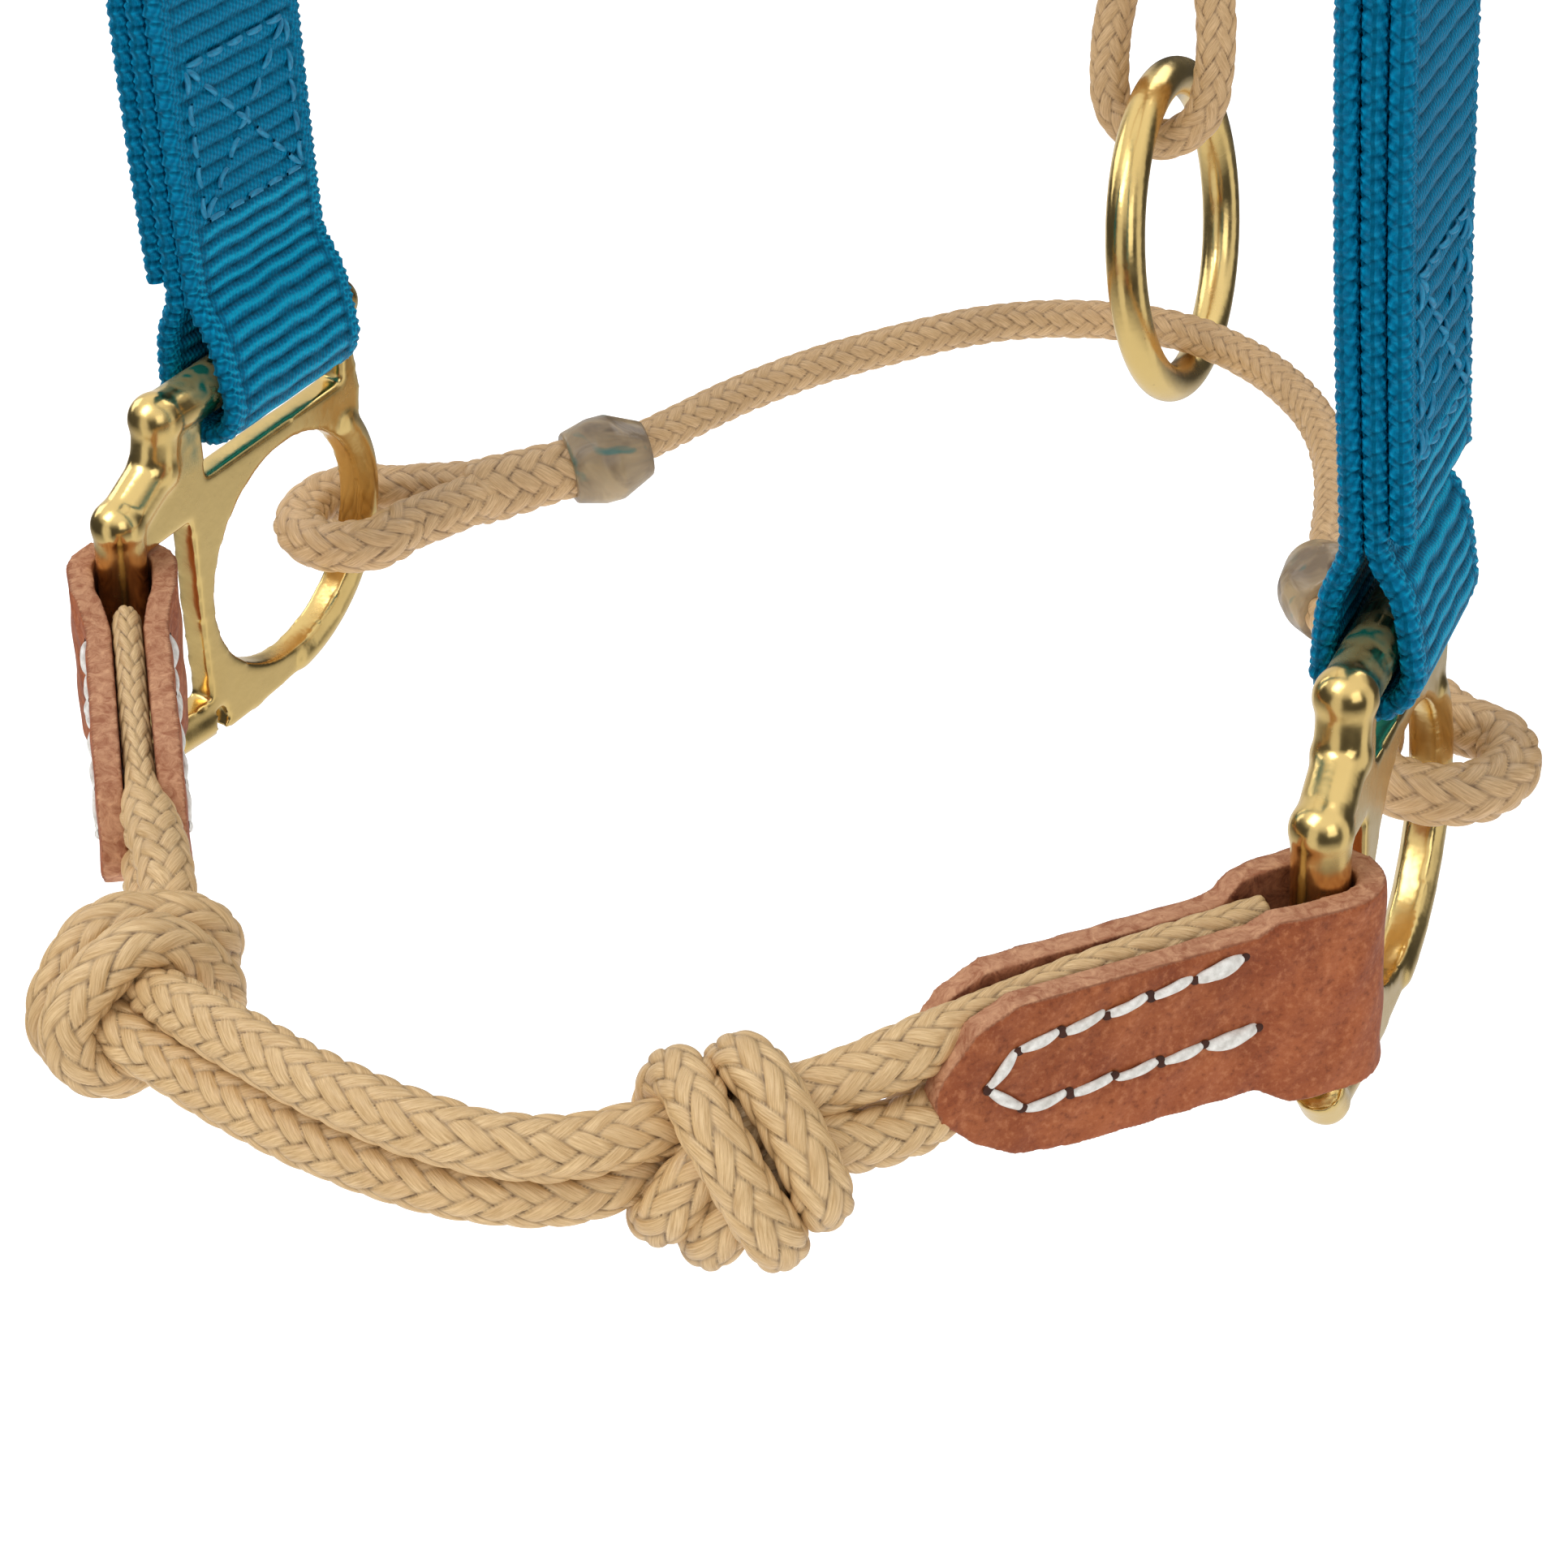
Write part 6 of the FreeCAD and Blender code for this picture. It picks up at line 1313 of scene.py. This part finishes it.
def seam_pull(along, across):
    """1 on the seam line, fading away from it."""
    pull = np.zeros(len(along))
    for (x, y), (next_x, next_y) in zip(SEAM[:-1], SEAM[1:]):
        dx, dy = next_x - x, next_y - y
        t = clip01(((along - x) * dx + (across - y) * dy) / (dx * dx + dy * dy))
        gap = np.hypot(along - x - t * dx, across - y - t * dy)
        pull = np.maximum(pull, np.exp(-(gap / 0.75) ** 2))
    return pull


for side in SIDES:
    piece, points, normals = remeshed_copy("nose_tab_" + side, "nose_tab_leather_" + side,
                                           voxel=0.00032, passes=5)
    along, across, outward = tab_coords(side, points)
    _, along_axis, _, outward_axis = TAB[side]
    # direction through the leather: in the fold, where along < 0, it turns round the bar
    in_fold = along < 0
    through = np.where(in_fold[:, None],
                       along[:, None] * along_axis + outward[:, None] * outward_axis,
                       np.sign(outward)[:, None] * outward_axis)
    through /= np.maximum(np.linalg.norm(through, axis=1), 1e-6)[:, None]
    depth = np.where(in_fold, np.hypot(along, outward) - 3.25,
                     np.abs(outward) - PLY_INNER - 0.55 * clip01((9 - along) / 5))
    facing = (normals * through).sum(1)
    edge = clip01((0.80 - np.abs(facing)) / 0.25)
    flesh = clip01((-facing - 0.1) / 0.3)
    burn = np.exp(-((np.abs(facing) - 0.62) / 0.12) ** 2) * clip01(depth - 1.9) * 0.75
    put_zones(piece, flesh, edge, burn)
    # slight waves, and a pull along the seam
    waves = (0.10 * np.sin(along * 0.55 + 1.3) * np.sin(across * 0.7)
             + 0.07 * np.sin(along * 1.3 + across * 0.9))
    pull = seam_pull(along, across - SEAM_ACROSS)
    offset = clip01(facing) * (waves - 0.22 * pull)
    points = (points + normals * offset[:, None]
              - (np.sign(outward) * squeeze(along))[:, None] * outward_axis)
    piece.data.vertices.foreach_set("co", scene_coords(points))
    piece.data.update()
    finish_piece(piece, LEATHER, "noseband", "leather", "nose_tab_" + side)

piece, points, normals = remeshed_copy("strap_keeper", "strap_keeper_leather",
                                       voxel=0.0003, passes=4)
outward = ((points - points.mean(0)) * normals).sum(1)
edge = clip01((np.abs(normals[:, 2]) - 0.5) / 0.3)
put_zones(piece, flesh=clip01(-outward / 3.0), edge=edge, burn=0 * edge)
finish_piece(piece, LEATHER, "keeper", "leather", "strap_keeper")

# ---------------------------------------------------------------- CAD solids kept, softened
# node, voxel in metres, smoothing passes, material
PAIRED_SOLIDS = [
    ("casting_", 0.00034, 18, CASTING),
    ("chin_clamp_", 0.00025, 6, CLAMP),
    ("throat_clamp_", 0.00030, 5, CLAMP),
    ("square_ring_", 0.00035, 5, BRASS),
]
SINGLE_SOLIDS = [
    ("jaw_clamp_lower", 0.00030, 5, CLAMP),
    ("jaw_clamp_upper", 0.00030, 5, CLAMP),
    ("chin_ring", 0.00035, 4, BRASS),
    ("buckle_frame", 0.00035, 4, BRASS),
    ("buckle_tongue", 0.00022, 3, BRASS),
    ("crown_eyelets", 0.00018, 3, BRASS),
]
solids = [(node + side, *rest) for side in SIDES for node, *rest in PAIRED_SOLIDS]
for node, voxel, passes, material in solids + SINGLE_SOLIDS:
    solid = NODES[node]
    add_remesh(solid, voxel, passes, smooth_shade=True)
    solid.data.materials.clear()
    solid.data.materials.append(material)

# ---------------------------------------------------------------- floor and lights, in metres
FLOOR_DROP = 0.16  # below the lowest CAD point
bpy.ops.mesh.primitive_plane_add(size=14, location=(0, 0, SIZE["cad"][0][2] - FLOOR_DROP))
floor = bpy.context.object
floor.name = "floor"
graph = new_material("floor")
graph.surface({
    "Base Color": (0.93, 0.93, 0.93, 1),
    "Roughness": 0.9,
    "Emission Color": (1, 1, 1, 1),
    "Emission Strength": 0.42,
})
floor.data.materials.append(graph.material)
floor.visible_glossy = False
floor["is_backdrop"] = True

LIGHT_TARGET = Vector((0.0, 0.02, 0.02))


def area_light(name, location, size, power, size_y=None):
    light = bpy.data.lights.new(name, "AREA")
    light.energy = power
    light.size = size
    if size_y:
        light.shape = "RECTANGLE"
        light.size_y = size_y
    lamp = bpy.data.objects.new(name, light)
    bpy.context.collection.objects.link(lamp)
    lamp.location = Vector(location) + Vector(ORIGIN * MM)
    aim = LIGHT_TARGET - Vector(location)
    lamp.rotation_euler = aim.to_track_quat("-Z", "Y").to_euler()
    lamp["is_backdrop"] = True


area_light("key", location=(-0.35, -0.55, 0.95), size=0.55, power=5.0, size_y=0.7)
area_light("fill", location=(0.85, -0.55, 0.45), size=0.6, power=1.6)
area_light("back", location=(0.1, 0.95, 0.75), size=0.7, power=2.4)
area_light("side", location=(-0.9, 0.15, 0.35), size=0.45, power=1.3)


# ---------------------------------------------------------------- world
def build_world():
    """White to the camera, a soft gradient as light, bright bands in reflections."""
    world = bpy.data.worlds.new("world")
    bpy.context.scene.world = world
    world.use_nodes = True
    graph = Graph(world.node_tree)
    output = graph.node("ShaderNodeOutputWorld")
    rays = graph.node("ShaderNodeLightPath").outputs
    x, y, z = graph.split(graph.node("ShaderNodeTexCoord").outputs["Generated"])

    def background(strength):
        node = graph.node("ShaderNodeBackground")
        node.inputs[0].default_value = (1, 1, 1, 1)
        graph.put(node.inputs[1], strength)
        return node.outputs[0]

    def choose(ray, otherwise, chosen):
        node = graph.node("ShaderNodeMixShader")
        for socket, value in zip(node.inputs, (rays[ray], otherwise, chosen)):
            graph.put(socket, value)
        return node.outputs[0]

    # light: 0.22 from below, rising by 0.50 upward
    diffuse = graph.plus(0.22, graph.times(graph.ramp(z, low=-0.35, high=0.75), 0.50))
    # reflections: bright top and underside, and three upright strips round the horizon
    azimuth = graph.math("ARCTAN2", y, x)
    top = graph.ramp(z, low=0.30, high=0.72)
    strip_count, strip_turn = 3.0, 0.7
    strips = graph.math("SINE", graph.plus(graph.times(azimuth, strip_count), strip_turn))
    strips = graph.times(graph.ramp(strips, low=0.45, high=0.85),
                         graph.ramp(graph.math("ABSOLUTE", z), low=0.75, high=0.25))
    under = graph.ramp(z, low=-0.25, high=-0.75)
    # strengths of the base level and of each band
    base, top_level, strip_level, under_level = 0.07, 0.95, 0.75, 0.80
    lower = graph.plus(graph.times(strips, strip_level), graph.times(under, under_level))
    glossy = graph.plus(base, graph.plus(graph.times(top, top_level), lower))
    lit = choose("Is Glossy Ray", background(diffuse), background(glossy))
    seen = choose("Is Camera Ray", lit, background(1.05))
    graph.put(output.inputs[0], seen)


build_world()

# ---------------------------------------------------------------- camera
CAMERA_AT = np.array([132.463, -234.268, 157.190])
CAMERA_DOWN = math.radians(33.88)  # tilt below the horizon
CAMERA_TURN = math.radians(28.31)  # from +Y towards -X
CAMERA_ROLL = math.radians(2.52)

camera_data = bpy.data.cameras.new("camera")
camera = bpy.data.objects.new("camera", camera_data)
bpy.context.collection.objects.link(camera)
forward = np.array([-math.sin(CAMERA_TURN) * math.cos(CAMERA_DOWN),
                    math.cos(CAMERA_TURN) * math.cos(CAMERA_DOWN),
                    -math.sin(CAMERA_DOWN)])
level = np.array([math.cos(CAMERA_TURN), math.sin(CAMERA_TURN), 0])
plumb = np.cross(forward, level)
right = math.cos(CAMERA_ROLL) * level + math.sin(CAMERA_ROLL) * plumb
down = -math.sin(CAMERA_ROLL) * level + math.cos(CAMERA_ROLL) * plumb
pose = np.eye(4)
pose[:3] = np.column_stack([right, -down, -forward, CAMERA_AT * MM + ORIGIN * MM])
camera.matrix_world = Matrix(pose.tolist())
camera_data.sensor_width = 36.0
camera_data.lens = 66.884907
camera_data.clip_start = 0.01
camera_data.clip_end = 30.0
scene = bpy.context.scene
scene.camera = camera
scene.view_settings.view_transform = "Standard"
scene.view_settings.look = "None"
scene.view_settings.exposure = 0.0
scene.view_settings.gamma = 1.0

low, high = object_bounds()
SIZE["final"] = [list(map(float, low)), list(map(float, high))]
